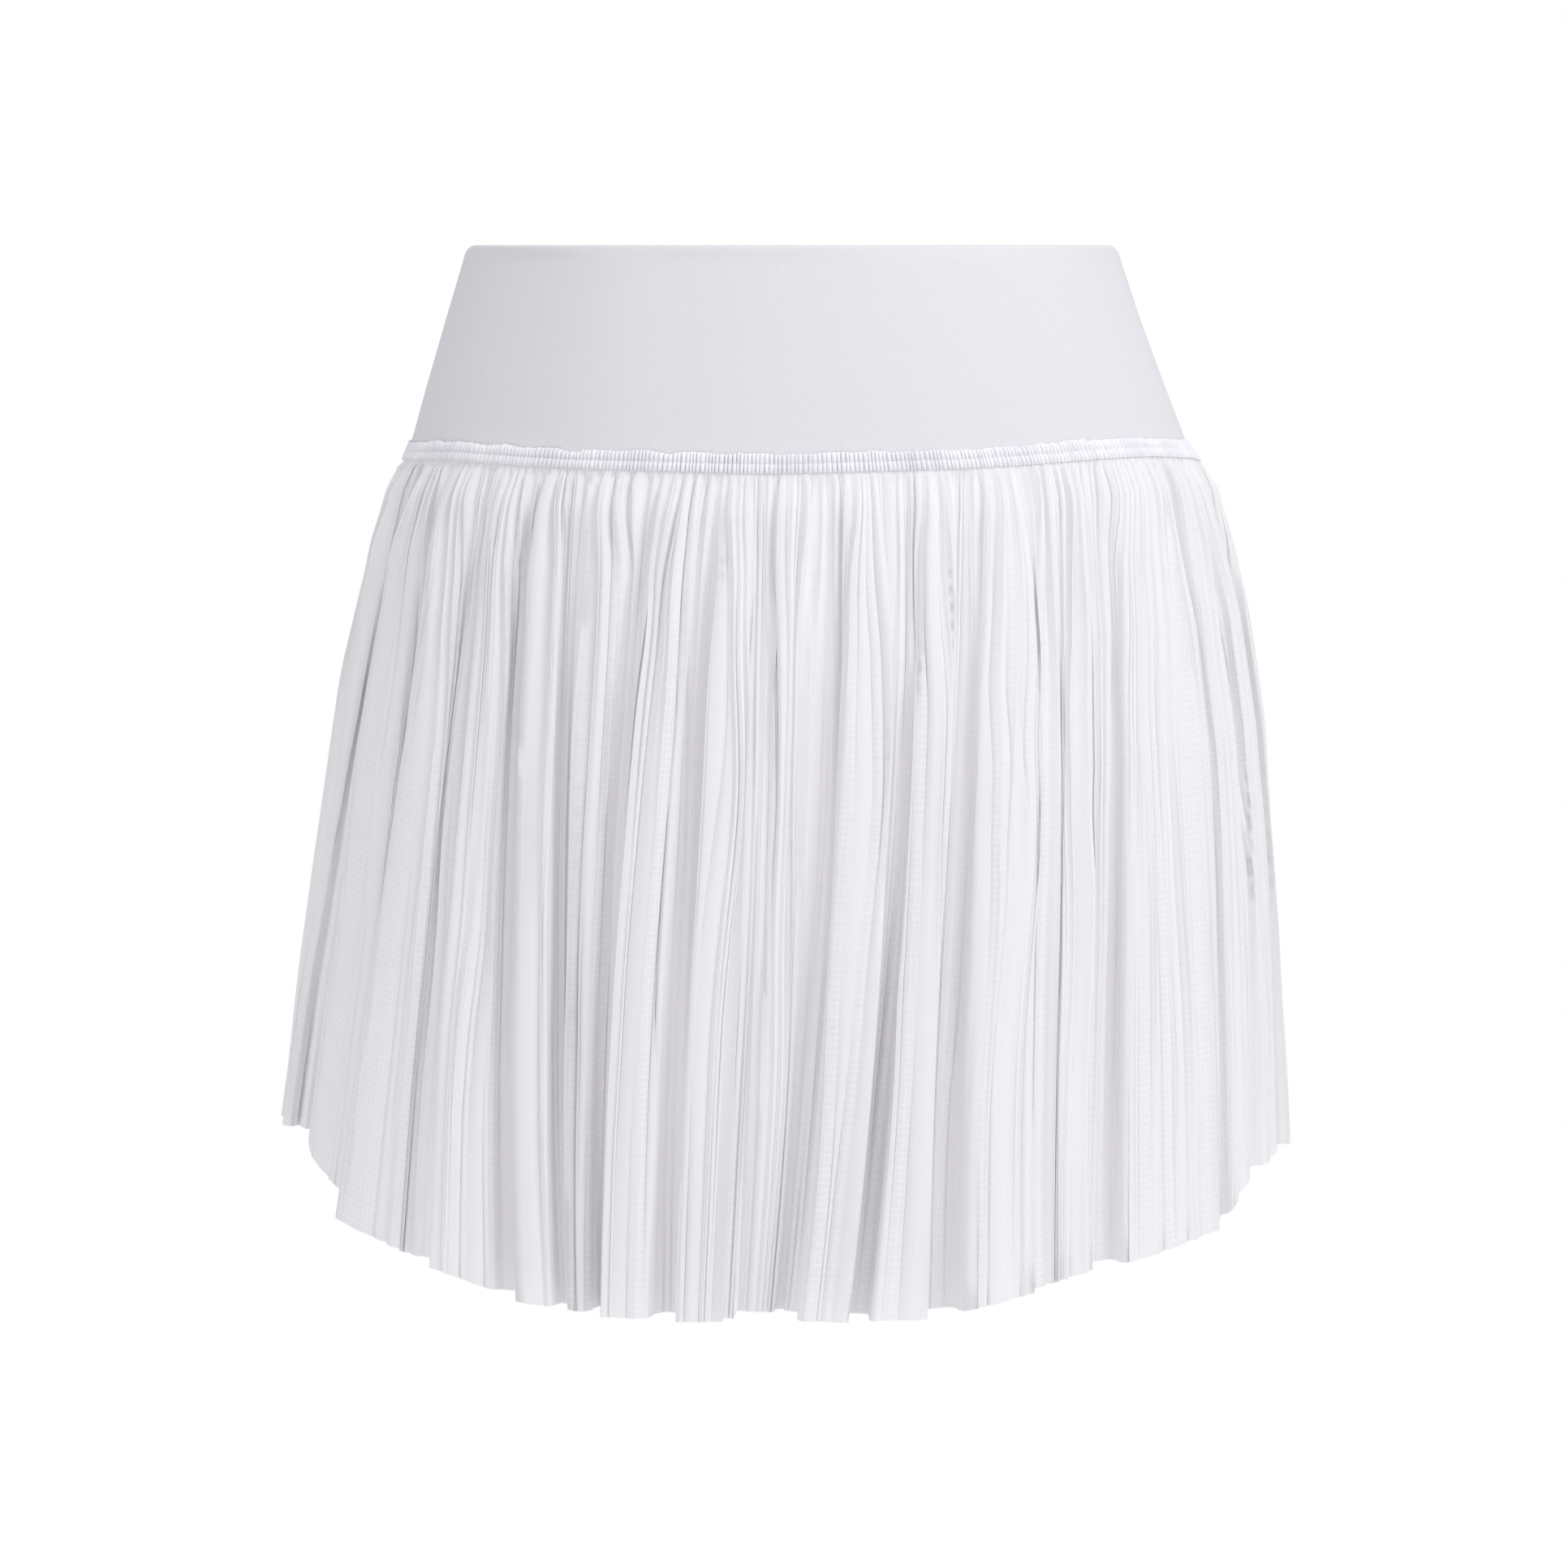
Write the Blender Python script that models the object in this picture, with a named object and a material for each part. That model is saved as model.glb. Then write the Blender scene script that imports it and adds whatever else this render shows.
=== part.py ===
"""Tennis skirt: a wide knit waistband over a gathered and finely pleated skirt.

Metres, +Z up. The wearer faces -Y and +X is on the viewer's right. The origin is the
centre of the waist opening. Angles go round the garment from the front centre: 0 faces -Y
and 90 degrees faces +X.
"""

import math
from typing import NamedTuple

import bmesh
import bpy
from mathutils import Vector

# The gap that neighbouring pieces keep at a seam.
SEAM_GAP = 0.0003

# Waistband: a folded double knit, widest at its lower edge.
BAND_HEIGHT = 0.0790
BAND_WALL = 0.0020
BAND_COLUMNS = 34
BAND_EDGE_DROPS = (0.0, 0.0006, 0.0022)
BAND_EDGE_INSETS = (0.32 * BAND_WALL, 0.10 * BAND_WALL, 0.0)
BAND_DROPS = (0.0140, 0.0320, 0.0530)
BAND_CORNER = 0.0045

# Gathered heading: the skirt's top edge, sewn flat over the waistband's lower edge.
HEADING_TOP = 0.0730
HEADING_BOTTOM = 0.0797
HEADING_RELIEF = 0.0005
HEADING_ROWS = 2
STEPS_IN_HEADING_ROW = 3
HEADING_COLUMNS = 34

# Skirt: where it starts below the waist, its wall, and the levels that its walls pass.
SKIRT_TOP = HEADING_BOTTOM + SEAM_GAP
SKIRT_WALL = 0.0012
SKIRT_LEVELS = (0.0, 0.055, 0.14, 0.28, 0.48, 0.74, 1.0)

# Deep folds: how far they stand out at the top, and how steep their flanks become.
FOLD_DEPTH_AT_TOP = 0.0026
FOLD_MIDDLE = 0.42
FOLD_GROWTH = 0.75
FLANK_STEEPNESS = 0.80
STEEP_FROM_LEVEL = 0.30

# Small pleats: how far they stand out of the folds at the heading and at the hem.
PLEAT_AT_TOP = 0.0014
PLEAT_AT_HEM = 0.0009
PLEAT_FADE = 0.50

# Faces that meet at more than this angle show a crisp crease.
CREASE_ANGLE = math.radians(35)

# Finishes: colour and roughness.
KNIT_COLOUR = (0.86, 0.86, 0.88)
KNIT_ROUGHNESS = 0.75
MESH_COLOUR = (0.90, 0.90, 0.92)
MESH_ROUGHNESS = 0.80


class Section(NamedTuple):
    """Half sizes of an outline at one place, from the centre line of the garment."""

    place: float
    left: float
    right: float
    front: float
    back: float


# Outside of the waistband; place is the drop below the waist.
BAND_SECTIONS = (
    Section(0.0000, 0.1222, 0.1214, 0.0915, 0.0915),
    Section(0.0250, 0.1295, 0.1297, 0.0965, 0.0985),
    Section(0.0500, 0.1366, 0.1388, 0.1010, 0.1050),
    Section(0.0790, 0.1444, 0.1498, 0.1055, 0.1110),
)

# Outside of the heading; place is the drop below the waist.
HEADING_SECTIONS = (
    Section(0.0730, 0.1443, 0.1490, 0.1064, 0.1118),
    Section(0.0797, 0.1464, 0.1532, 0.1078, 0.1133),
)

# The ring of valleys between the deep folds; place is the share of the skirt's fall.
VALLEY_SECTIONS = (
    Section(0.00, 0.1442, 0.1512, 0.1074, 0.1128),
    Section(0.05, 0.1472, 0.1546, 0.1125, 0.1170),
    Section(0.12, 0.1512, 0.1584, 0.1170, 0.1215),
    Section(0.22, 0.1540, 0.1628, 0.1218, 0.1262),
    Section(0.38, 0.1585, 0.1668, 0.1286, 0.1325),
    Section(0.58, 0.1646, 0.1690, 0.1350, 0.1388),
    Section(0.79, 0.1716, 0.1704, 0.1404, 0.1442),
    Section(1.00, 0.1772, 0.1714, 0.1450, 0.1490),
)


class Fold(NamedTuple):
    """One deep fold, from the valley that starts it to the next fold's valley.

    top, middle and hem are the starting valley's angles in degrees at three levels.
    drop is how far the hem lies below the waist at that valley.
    depth_middle and depth_hem say how far the crest stands out of the valleys.
    rise and fall are the shares of the fold's cloth in its two flanks.
    lean is how many degrees the crest leans over at the hem.
    pleats is the number of small pleats that the fold carries.
    """

    top: float
    middle: float
    hem: float
    drop: float
    depth_middle: float
    depth_hem: float
    rise: float
    fall: float
    lean: float
    pleats: int


FRONT_FOLDS = (
    Fold(-84.0, -93.0, -100.0, 0.3275, 0.012, 0.018, 0.28, 0.30, 0.5, 7),
    Fold(-68.0, -74.0, -79.0, 0.3290, 0.008, 0.010, 0.26, 0.30, 0.0, 5),
    Fold(-57.5, -58.6, -60.8, 0.3500, 0.013, 0.021, 0.30, 0.42, -0.5, 7),
    Fold(-50.0, -45.6, -44.0, 0.3610, 0.012, 0.021, 0.34, 0.40, -0.3, 6),
    Fold(-40.5, -36.5, -31.6, 0.3710, 0.012, 0.022, 0.44, 0.46, 0.0, 5),
    Fold(-32.5, -30.0, -25.2, 0.3735, 0.011, 0.020, 0.48, 0.48, 0.0, 4),
    Fold(-24.5, -24.0, -21.5, 0.3740, 0.014, 0.024, 0.38, 0.40, -0.3, 6),
    Fold(-15.4, -13.4, -13.4, 0.3745, 0.013, 0.026, 0.42, 0.42, 0.2, 6),
    Fold(-6.9, -5.5, -6.0, 0.3735, 0.010, 0.008, 0.36, 0.44, 0.0, 5),
    Fold(3.0, 3.5, -1.2, 0.3735, 0.013, 0.024, 0.45, 0.36, 0.4, 6),
    Fold(11.0, 12.0, 6.7, 0.3740, 0.012, 0.023, 0.38, 0.46, 0.0, 6),
    Fold(20.5, 20.0, 16.3, 0.3740, 0.011, 0.019, 0.32, 0.36, 0.0, 6),
    Fold(28.0, 28.6, 29.2, 0.3665, 0.008, 0.014, 0.36, 0.36, 0.0, 5),
    Fold(37.0, 38.0, 36.8, 0.3620, 0.010, 0.017, 0.22, 0.20, -0.3, 9),
    Fold(55.0, 61.5, 60.0, 0.3540, 0.008, 0.012, 0.32, 0.34, 0.0, 5),
    Fold(66.0, 72.5, 68.0, 0.3390, 0.008, 0.013, 0.32, 0.32, 0.0, 5),
    Fold(76.0, 83.0, 80.5, 0.3365, 0.010, 0.016, 0.30, 0.32, 0.3, 6),
)

BACK_FOLDS = (
    Fold(86.0, 92.0, 96.0, 0.3360, 0.011, 0.018, 0.34, 0.36, 0.5, 6),
    Fold(103.0, 108.0, 111.0, 0.3440, 0.012, 0.022, 0.38, 0.34, -0.5, 6),
    Fold(118.0, 121.0, 124.0, 0.3540, 0.012, 0.020, 0.42, 0.42, 0.3, 5),
    Fold(132.0, 134.0, 135.0, 0.3620, 0.013, 0.023, 0.28, 0.34, 0.6, 7),
    Fold(149.0, 151.0, 152.0, 0.3690, 0.011, 0.018, 0.44, 0.44, 0.0, 5),
    Fold(163.0, 162.0, 161.0, 0.3720, 0.013, 0.025, 0.38, 0.34, -0.6, 6),
    Fold(180.0, 176.0, 174.0, 0.3735, 0.012, 0.021, 0.36, 0.40, 0.3, 6),
    Fold(194.0, 189.0, 187.0, 0.3725, 0.013, 0.024, 0.28, 0.30, 0.0, 8),
    Fold(207.0, 205.0, 205.0, 0.3670, 0.012, 0.019, 0.42, 0.40, -0.3, 5),
    Fold(221.0, 217.5, 216.0, 0.3600, 0.012, 0.023, 0.34, 0.38, 0.5, 6),
    Fold(238.0, 230.0, 230.0, 0.3500, 0.011, 0.020, 0.28, 0.28, -0.5, 7),
    Fold(258.0, 249.0, 246.0, 0.3370, 0.011, 0.018, 0.34, 0.30, 0.3, 5),
)


def blend(low: float, high: float, share: float) -> float:
    """A value between two others."""
    return low + (high - low) * share


def ease(share: float) -> float:
    """A smooth step from 0 to 1, flat at both ends and beyond them."""
    share = min(max(share, 0.0), 1.0)
    return 0.5 - 0.5 * math.cos(math.pi * share)


def section_at(sections: tuple, place: float) -> Section:
    """The outline at a place between two rows of a table of sections."""
    for above, below in zip(sections, sections[1:]):
        if place <= below.place:
            break
    share = (place - above.place) / (below.place - above.place)
    return Section(*(blend(high, low, share) for high, low in zip(above, below)))


def on_outline(section: Section, angle: float) -> tuple:
    """The point of an outline at an angle in radians, and the direction out of it."""
    across = math.sin(angle)
    ahead = math.cos(angle)
    half_width = section.right if across > 0 else section.left
    half_depth = section.front if ahead > 0 else section.back
    point = Vector((half_width * across, -half_depth * ahead, 0.0))
    outward = Vector((across / half_width, -ahead / half_depth, 0.0)).normalized()
    return point, outward


def cloth_finish(name: str, colour: tuple, roughness: float) -> bpy.types.Material:
    """A plain finish for one piece of cloth."""
    finish = bpy.data.materials.new(name)
    finish.use_nodes = True
    shader = finish.node_tree.nodes["Principled BSDF"]
    shader.inputs["Base Color"].default_value = (*colour, 1.0)
    shader.inputs["Roughness"].default_value = roughness
    shader.inputs["Metallic"].default_value = 0.0
    return finish


def closed_wall(name: str, outer: list, inner: list, finish: bpy.types.Material) -> None:
    """One closed piece of cloth from two grids of points, its outside and its inside.

    Each grid is a list of rows from the top down, and a row's points follow rising angles.
    """
    shell = bmesh.new()
    outside = [[shell.verts.new(point) for point in row] for row in outer]
    inside = [[shell.verts.new(point) for point in row] for row in inner]
    last_row = len(outer) - 1
    last_column = len(outer[0]) - 1
    for row in range(last_row):
        for column in range(last_column):
            below = row + 1
            beside = column + 1
            shell.faces.new((outside[row][column], outside[below][column],
                             outside[below][beside], outside[row][beside]))
            shell.faces.new((inside[row][beside], inside[below][beside],
                             inside[below][column], inside[row][column]))
    for column in range(last_column):
        beside = column + 1
        shell.faces.new((inside[0][column], outside[0][column],
                         outside[0][beside], inside[0][beside]))
        shell.faces.new((inside[last_row][beside], outside[last_row][beside],
                         outside[last_row][column], inside[last_row][column]))
    for row in range(last_row):
        below = row + 1
        shell.faces.new((outside[row][0], inside[row][0],
                         inside[below][0], outside[below][0]))
        shell.faces.new((outside[below][last_column], inside[below][last_column],
                         inside[row][last_column], outside[row][last_column]))
    mesh = bpy.data.meshes.new(name)
    shell.to_mesh(mesh)
    shell.free()
    mesh.materials.append(finish)
    mesh.shade_smooth()
    mesh.set_sharp_from_angle(angle=CREASE_ANGLE)
    piece = bpy.data.objects.new(name, mesh)
    bpy.context.scene.collection.objects.link(piece)


def half_turn(middle: float, columns: int, half_depth: float) -> list:
    """Angles from side seam to side seam, about the front or back centre, less half a gap."""
    margin = SEAM_GAP / 2 / half_depth
    reach = math.pi / 2 - margin
    return [middle + blend(-reach, reach, column / columns) for column in range(columns + 1)]


def band_point(drop: float, angle: float, inset: float) -> Vector:
    """A point of the waistband, whose top edge rounds down at the two sides."""
    point, outward = on_outline(section_at(BAND_SECTIONS, drop), angle)
    top = BAND_SECTIONS[0]
    half_width = top.right if point.x > 0 else top.left
    into_corner = max(0.0, half_width * abs(math.sin(angle)) - (half_width - BAND_CORNER))
    sag = BAND_CORNER - math.sqrt(max(0.0, BAND_CORNER ** 2 - into_corner ** 2))
    height = -blend(sag, BAND_HEIGHT, drop / BAND_HEIGHT)
    return Vector((point.x, point.y, height)) - outward * inset


def make_waistband(name: str, middle: float, finish: bpy.types.Material) -> None:
    """Half of the waistband, with its folded upper edge rounded over."""
    angles = half_turn(middle, BAND_COLUMNS, BAND_SECTIONS[0].front)
    drops = BAND_EDGE_DROPS + BAND_DROPS + (BAND_HEIGHT,)
    insets = BAND_EDGE_INSETS + (0.0,) * (len(BAND_DROPS) + 1)
    outer = []
    inner = []
    for drop, inset in zip(drops, insets):
        outer.append([band_point(drop, angle, inset) for angle in angles])
        inner.append([band_point(drop, angle, BAND_WALL - inset) for angle in angles])
    closed_wall(name, outer, inner, finish)


def make_heading(name: str, middle: float, finish: bpy.types.Material) -> None:
    """Half of the heading: rounded rows of gathers outside, flat against the waistband."""
    angles = half_turn(middle, HEADING_COLUMNS, HEADING_SECTIONS[0].front)
    steps = STEPS_IN_HEADING_ROW * HEADING_ROWS
    outer = []
    inner = []
    for step in range(steps + 1):
        share = step / steps
        drop = blend(HEADING_TOP, HEADING_BOTTOM, share)
        swell = HEADING_RELIEF * abs(math.sin(math.pi * share * HEADING_ROWS))
        outer_row = []
        inner_row = []
        for angle in angles:
            point, outward = on_outline(section_at(HEADING_SECTIONS, drop), angle)
            lift = Vector((0.0, 0.0, -drop))
            outer_row.append(point + outward * (swell - HEADING_RELIEF) + lift)
            band_drop = min(drop, BAND_HEIGHT)
            point, outward = on_outline(section_at(BAND_SECTIONS, band_drop), angle)
            inner_row.append(point + outward * SEAM_GAP + lift)
        outer.append(outer_row)
        inner.append(inner_row)
    closed_wall(name, outer, inner, finish)


def valley_angle(fold: Fold, level: float) -> float:
    """The angle in radians of a fold's starting valley, on a parabola through its three."""
    at_top = (level - FOLD_MIDDLE) * (level - 1.0) / FOLD_MIDDLE
    at_middle = level * (level - 1.0) / (FOLD_MIDDLE * (FOLD_MIDDLE - 1.0))
    at_hem = level * (level - FOLD_MIDDLE) / (1.0 - FOLD_MIDDLE)
    return math.radians(fold.top * at_top + fold.middle * at_middle + fold.hem * at_hem)


def crest_height(fold: Fold, level: float) -> float:
    """How far a fold's crest stands out at a level, growing fast below the heading."""
    if level < FOLD_MIDDLE:
        share = (level / FOLD_MIDDLE) ** FOLD_GROWTH
        return blend(FOLD_DEPTH_AT_TOP, fold.depth_middle, share)
    share = (level - FOLD_MIDDLE) / (1.0 - FOLD_MIDDLE)
    return blend(fold.depth_middle, fold.depth_hem, share)


def profile(fold: Fold, share: float) -> float:
    """The fold's relief, 0 in its valleys and 1 on its crest, at a share of its cloth."""
    return ease(share / fold.rise) * ease((1.0 - share) / fold.fall)


def flank_sum(share: float, flank: float) -> float:
    """The integral of a flank's relief from its valley to a share of the cloth."""
    if share < flank:
        return share / 2 - flank / (2 * math.pi) * math.sin(math.pi * share / flank)
    return flank / 2 + (share - flank)


def way_across(fold: Fold, share: float, steepness: float) -> float:
    """How far across the fold a share of its cloth has gone: slow in the steep flanks."""
    whole = 1.0 - fold.rise / 2 - fold.fall / 2
    if share < 1.0 - fold.fall:
        covered = flank_sum(share, fold.rise)
    else:
        covered = whole - flank_sum(1.0 - share, fold.fall)
    return ((1.0 - steepness) * share + steepness * covered) / (
        1.0 - steepness + steepness * whole)


def skirt_point(fold: Fold, after: Fold, turn: float, share: float, level: float) -> Vector:
    """A point of the folded cloth, without its small pleats.

    turn is a full turn for the last fold, whose next valley is the first fold's.
    """
    relief = profile(fold, share)
    steepness = FLANK_STEEPNESS * ease(level / STEEP_FROM_LEVEL)
    start = valley_angle(fold, level)
    end = valley_angle(after, level) + turn
    angle = blend(start, end, way_across(fold, share, steepness))
    angle += math.radians(fold.lean) * relief * level
    point, outward = on_outline(section_at(VALLEY_SECTIONS, level), angle)
    drop = blend(SKIRT_TOP, blend(fold.drop, after.drop, ease(share)), level)
    return point + outward * crest_height(fold, level) * relief - Vector((0.0, 0.0, drop))


def skirt_columns() -> list:
    """Each column of the skirt: its fold, the next one, their turn and the cloth's share.

    A small pleat has two columns: its edge, then its crest.
    """
    folds = FRONT_FOLDS + BACK_FOLDS
    columns = []
    for number, fold in enumerate(folds):
        after = folds[(number + 1) % len(folds)]
        turn = 0.0 if number + 1 < len(folds) else 2 * math.pi
        for step in range(2 * fold.pleats):
            columns.append((fold, after, turn, step / (2 * fold.pleats)))
    return columns


def skirt_rings() -> tuple:
    """The outside and the inside of the whole skirt, and the way along it at each point."""
    columns = skirt_columns()
    outer = []
    inner = []
    along = []
    for level in SKIRT_LEVELS:
        ring = [skirt_point(*column, level) for column in columns]
        outer_row = []
        inner_row = []
        along_row = []
        for number, (fold, _, _, share) in enumerate(columns):
            way = ring[(number + 1) % len(ring)] - ring[number - 1]
            way.z = 0.0
            way.normalize()
            outward = Vector((way.y, -way.x, 0.0))
            crest = blend(PLEAT_AT_TOP, PLEAT_AT_HEM, level) if number % 2 else 0.0
            crest *= ease(profile(fold, share) / PLEAT_FADE) if level > 0 else 1.0
            outer_row.append(ring[number] + outward * crest)
            inner_row.append(ring[number] - outward * SKIRT_WALL)
            along_row.append(way)
        outer.append(outer_row)
        inner.append(inner_row)
        along.append(along_row)
    return outer, inner, along


def panel_rows(rings: list, along: list, first: int, last: int) -> list:
    """The rows of one panel from a ring of columns, drawn back half a gap at both seams."""
    rows = []
    for ring, ways in zip(rings, along):
        count = len(ring)
        row = [ring[column % count].copy() for column in range(first, last + 1)]
        row[0] += ways[first % count] * (SEAM_GAP / 2)
        row[-1] -= ways[last % count] * (SEAM_GAP / 2)
        rows.append(row)
    return rows


def make_skirt(finish: bpy.types.Material) -> None:
    """The skirt's front and back panels, which meet in a valley at each side."""
    outer, inner, along = skirt_rings()
    seam = 2 * sum(fold.pleats for fold in FRONT_FOLDS)
    whole = len(outer[0])
    for name, first, last in (("skirt_front", 0, seam), ("skirt_back", seam, whole)):
        outside = panel_rows(outer, along, first, last)
        inside = panel_rows(inner, along, first, last)
        closed_wall(name, outside, inside, finish)


def clear_scene() -> None:
    """Remove whatever the scene starts with."""
    for item in list(bpy.data.objects):
        bpy.data.objects.remove(item, do_unlink=True)


def main() -> None:
    """Make every piece of the garment."""
    clear_scene()
    knit = cloth_finish("waistband_knit", KNIT_COLOUR, KNIT_ROUGHNESS)
    gathers = cloth_finish("heading_gathers", MESH_COLOUR, MESH_ROUGHNESS)
    mesh_cloth = cloth_finish("pleated_mesh", MESH_COLOUR, MESH_ROUGHNESS)
    make_waistband("waistband_front", 0.0, knit)
    make_waistband("waistband_back", math.pi, knit)
    make_heading("gathered_heading_front", 0.0, gathers)
    make_heading("gathered_heading_back", math.pi, gathers)
    make_skirt(mesh_cloth)


main()
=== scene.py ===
"""Looks of a tennis skirt: knit waistband, stitched heading and finely pleated mesh.

Metres, +Z up. The wearer faces -Y and +X is on the viewer's right. Angles go round the
garment from the front centre: 0 faces -Y and 90 degrees faces +X.
"""

import logging
import math
from dataclasses import dataclass, field
from enum import Enum
from typing import NamedTuple, Optional, Sequence

import bpy
import numpy as np
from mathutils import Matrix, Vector


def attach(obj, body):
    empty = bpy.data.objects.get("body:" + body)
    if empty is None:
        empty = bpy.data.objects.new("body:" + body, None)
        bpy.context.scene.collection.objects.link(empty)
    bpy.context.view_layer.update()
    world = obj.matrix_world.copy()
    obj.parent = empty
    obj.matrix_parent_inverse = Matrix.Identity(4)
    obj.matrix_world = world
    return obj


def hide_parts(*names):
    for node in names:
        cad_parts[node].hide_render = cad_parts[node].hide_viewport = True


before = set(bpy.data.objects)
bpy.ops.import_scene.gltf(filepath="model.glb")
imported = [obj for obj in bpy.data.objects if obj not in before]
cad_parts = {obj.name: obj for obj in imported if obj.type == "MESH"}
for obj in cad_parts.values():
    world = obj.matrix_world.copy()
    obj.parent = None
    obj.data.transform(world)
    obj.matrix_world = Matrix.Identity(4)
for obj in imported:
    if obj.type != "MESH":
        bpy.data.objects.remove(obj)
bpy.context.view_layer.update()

BODY = "root"
LOG = logging.getLogger("tennis_skirt")

UV_NAME = "cloth_metres"
SEAM_GAP = 0.0003
SEED = 71
# Facets in each gather of the skirt, and columns of points in each facet.
FACETS = 3
COLUMNS = 4


class Side(Enum):
    """The half of the garment that a piece belongs to, by the angle of its middle."""

    FRONT = 0.0
    BACK = math.pi

    @property
    def word(self) -> str:
        """The half's name in a node's name."""
        return self.name.lower()


class Section(NamedTuple):
    """Half sizes of an outline at one place, from the garment's centre line."""

    place: float
    left: float
    right: float
    front: float
    back: float


class Fold(NamedTuple):
    """One deep fold, from the valley that starts it to the next fold's valley.

    top, middle and hem are the valley's angles in degrees, drop is the hem's drop there,
    pleats is the number of gathers that the fold carries, and filled is how far up the
    fold's depth the floor of its starting valley lies. rise and fall are the shares of the
    fold that its two flanks take, and lean turns its crest aside, in degrees.
    """

    top: float
    middle: float
    hem: float
    drop: float
    depth_middle: float
    depth_hem: float
    rise: float
    fall: float
    lean: float
    pleats: int
    filled: float = 0.42


class SoftCrease(NamedTuple):
    """A shallow hollow or swell of the stretched waistband.

    angle and width are in degrees, drop and reach in metres down the band, and height is
    how far it stands out, or in where it is negative.
    """

    angle: float
    width: float
    drop: float
    reach: float
    height: float


class Rise(NamedTuple):
    """A stretch of the heading that runs higher than the rest, or lower where negative.

    angle and width are in degrees and height in metres.
    """

    angle: float
    width: float
    height: float


BAND_SECTIONS = (
    Section(0.0000, 0.1222, 0.1214, 0.0915, 0.0915),
    Section(0.0250, 0.1295, 0.1297, 0.0965, 0.0985),
    Section(0.0500, 0.1366, 0.1388, 0.1010, 0.1050),
    Section(0.0790, 0.1444, 0.1498, 0.1055, 0.1110),
)

HEADING_SECTIONS = (
    Section(0.0730, 0.1443, 0.1490, 0.1064, 0.1118),
    Section(0.0797, 0.1464, 0.1532, 0.1078, 0.1133),
)

VALLEY_SECTIONS = (
    Section(0.00, 0.1442, 0.1512, 0.1074, 0.1128),
    Section(0.05, 0.1472, 0.1546, 0.1125, 0.1170),
    Section(0.12, 0.1512, 0.1584, 0.1170, 0.1215),
    Section(0.22, 0.1540, 0.1628, 0.1218, 0.1262),
    Section(0.38, 0.1585, 0.1668, 0.1286, 0.1325),
    Section(0.58, 0.1646, 0.1690, 0.1350, 0.1388),
    Section(0.79, 0.1716, 0.1704, 0.1404, 0.1442),
    Section(1.00, 0.1772, 0.1714, 0.1450, 0.1490),
)

FRONT_FOLDS = (
    Fold(-84.0, -93.0, -100.0, 0.3275, 0.012, 0.018, 0.28, 0.30, 0.5, 7, 0.45),
    Fold(-68.0, -74.0, -79.0, 0.3290, 0.008, 0.010, 0.26, 0.30, 0.0, 5, 0.50),
    Fold(-58.4, -59.0, -60.8, 0.3500, 0.013, 0.021, 0.30, 0.42, -0.5, 7, 0.34),
    Fold(-47.3, -46.2, -44.0, 0.3610, 0.012, 0.021, 0.34, 0.40, -0.3, 6, 0.68),
    Fold(-38.2, -36.8, -31.6, 0.3710, 0.012, 0.022, 0.44, 0.46, 0.0, 5, 0.30),
    Fold(-31.0, -29.5, -25.2, 0.3735, 0.011, 0.020, 0.48, 0.48, 0.0, 4, 0.36),
    Fold(-20.6, -22.1, -21.5, 0.3740, 0.014, 0.024, 0.38, 0.40, -0.3, 6, 0.34),
    Fold(-10.7, -12.8, -13.4, 0.3745, 0.013, 0.026, 0.42, 0.42, 0.2, 6, 0.30),
    Fold(-3.9, -4.2, -6.0, 0.3735, 0.010, 0.008, 0.36, 0.44, 0.0, 5, 0.78),
    Fold(4.4, 3.0, -1.2, 0.3735, 0.013, 0.024, 0.45, 0.36, 0.4, 6, 0.26),
    Fold(15.0, 12.2, 6.2, 0.3740, 0.012, 0.023, 0.38, 0.46, 0.0, 6, 0.38),
    Fold(23.7, 19.4, 16.3, 0.3740, 0.011, 0.019, 0.32, 0.36, 0.0, 6, 0.24),
    Fold(35.8, 32.0, 29.2, 0.3665, 0.008, 0.014, 0.36, 0.36, 0.0, 5, 0.85),
    Fold(44.1, 40.2, 36.8, 0.3620, 0.010, 0.017, 0.22, 0.20, -0.3, 9, 0.30),
    Fold(61.0, 61.0, 60.0, 0.3540, 0.008, 0.012, 0.32, 0.34, 0.0, 5, 0.58),
    Fold(69.5, 71.5, 68.0, 0.3390, 0.008, 0.013, 0.32, 0.32, 0.0, 5, 0.62),
    Fold(78.0, 82.5, 80.5, 0.3365, 0.010, 0.016, 0.30, 0.32, 0.3, 6, 0.50),
)

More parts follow.
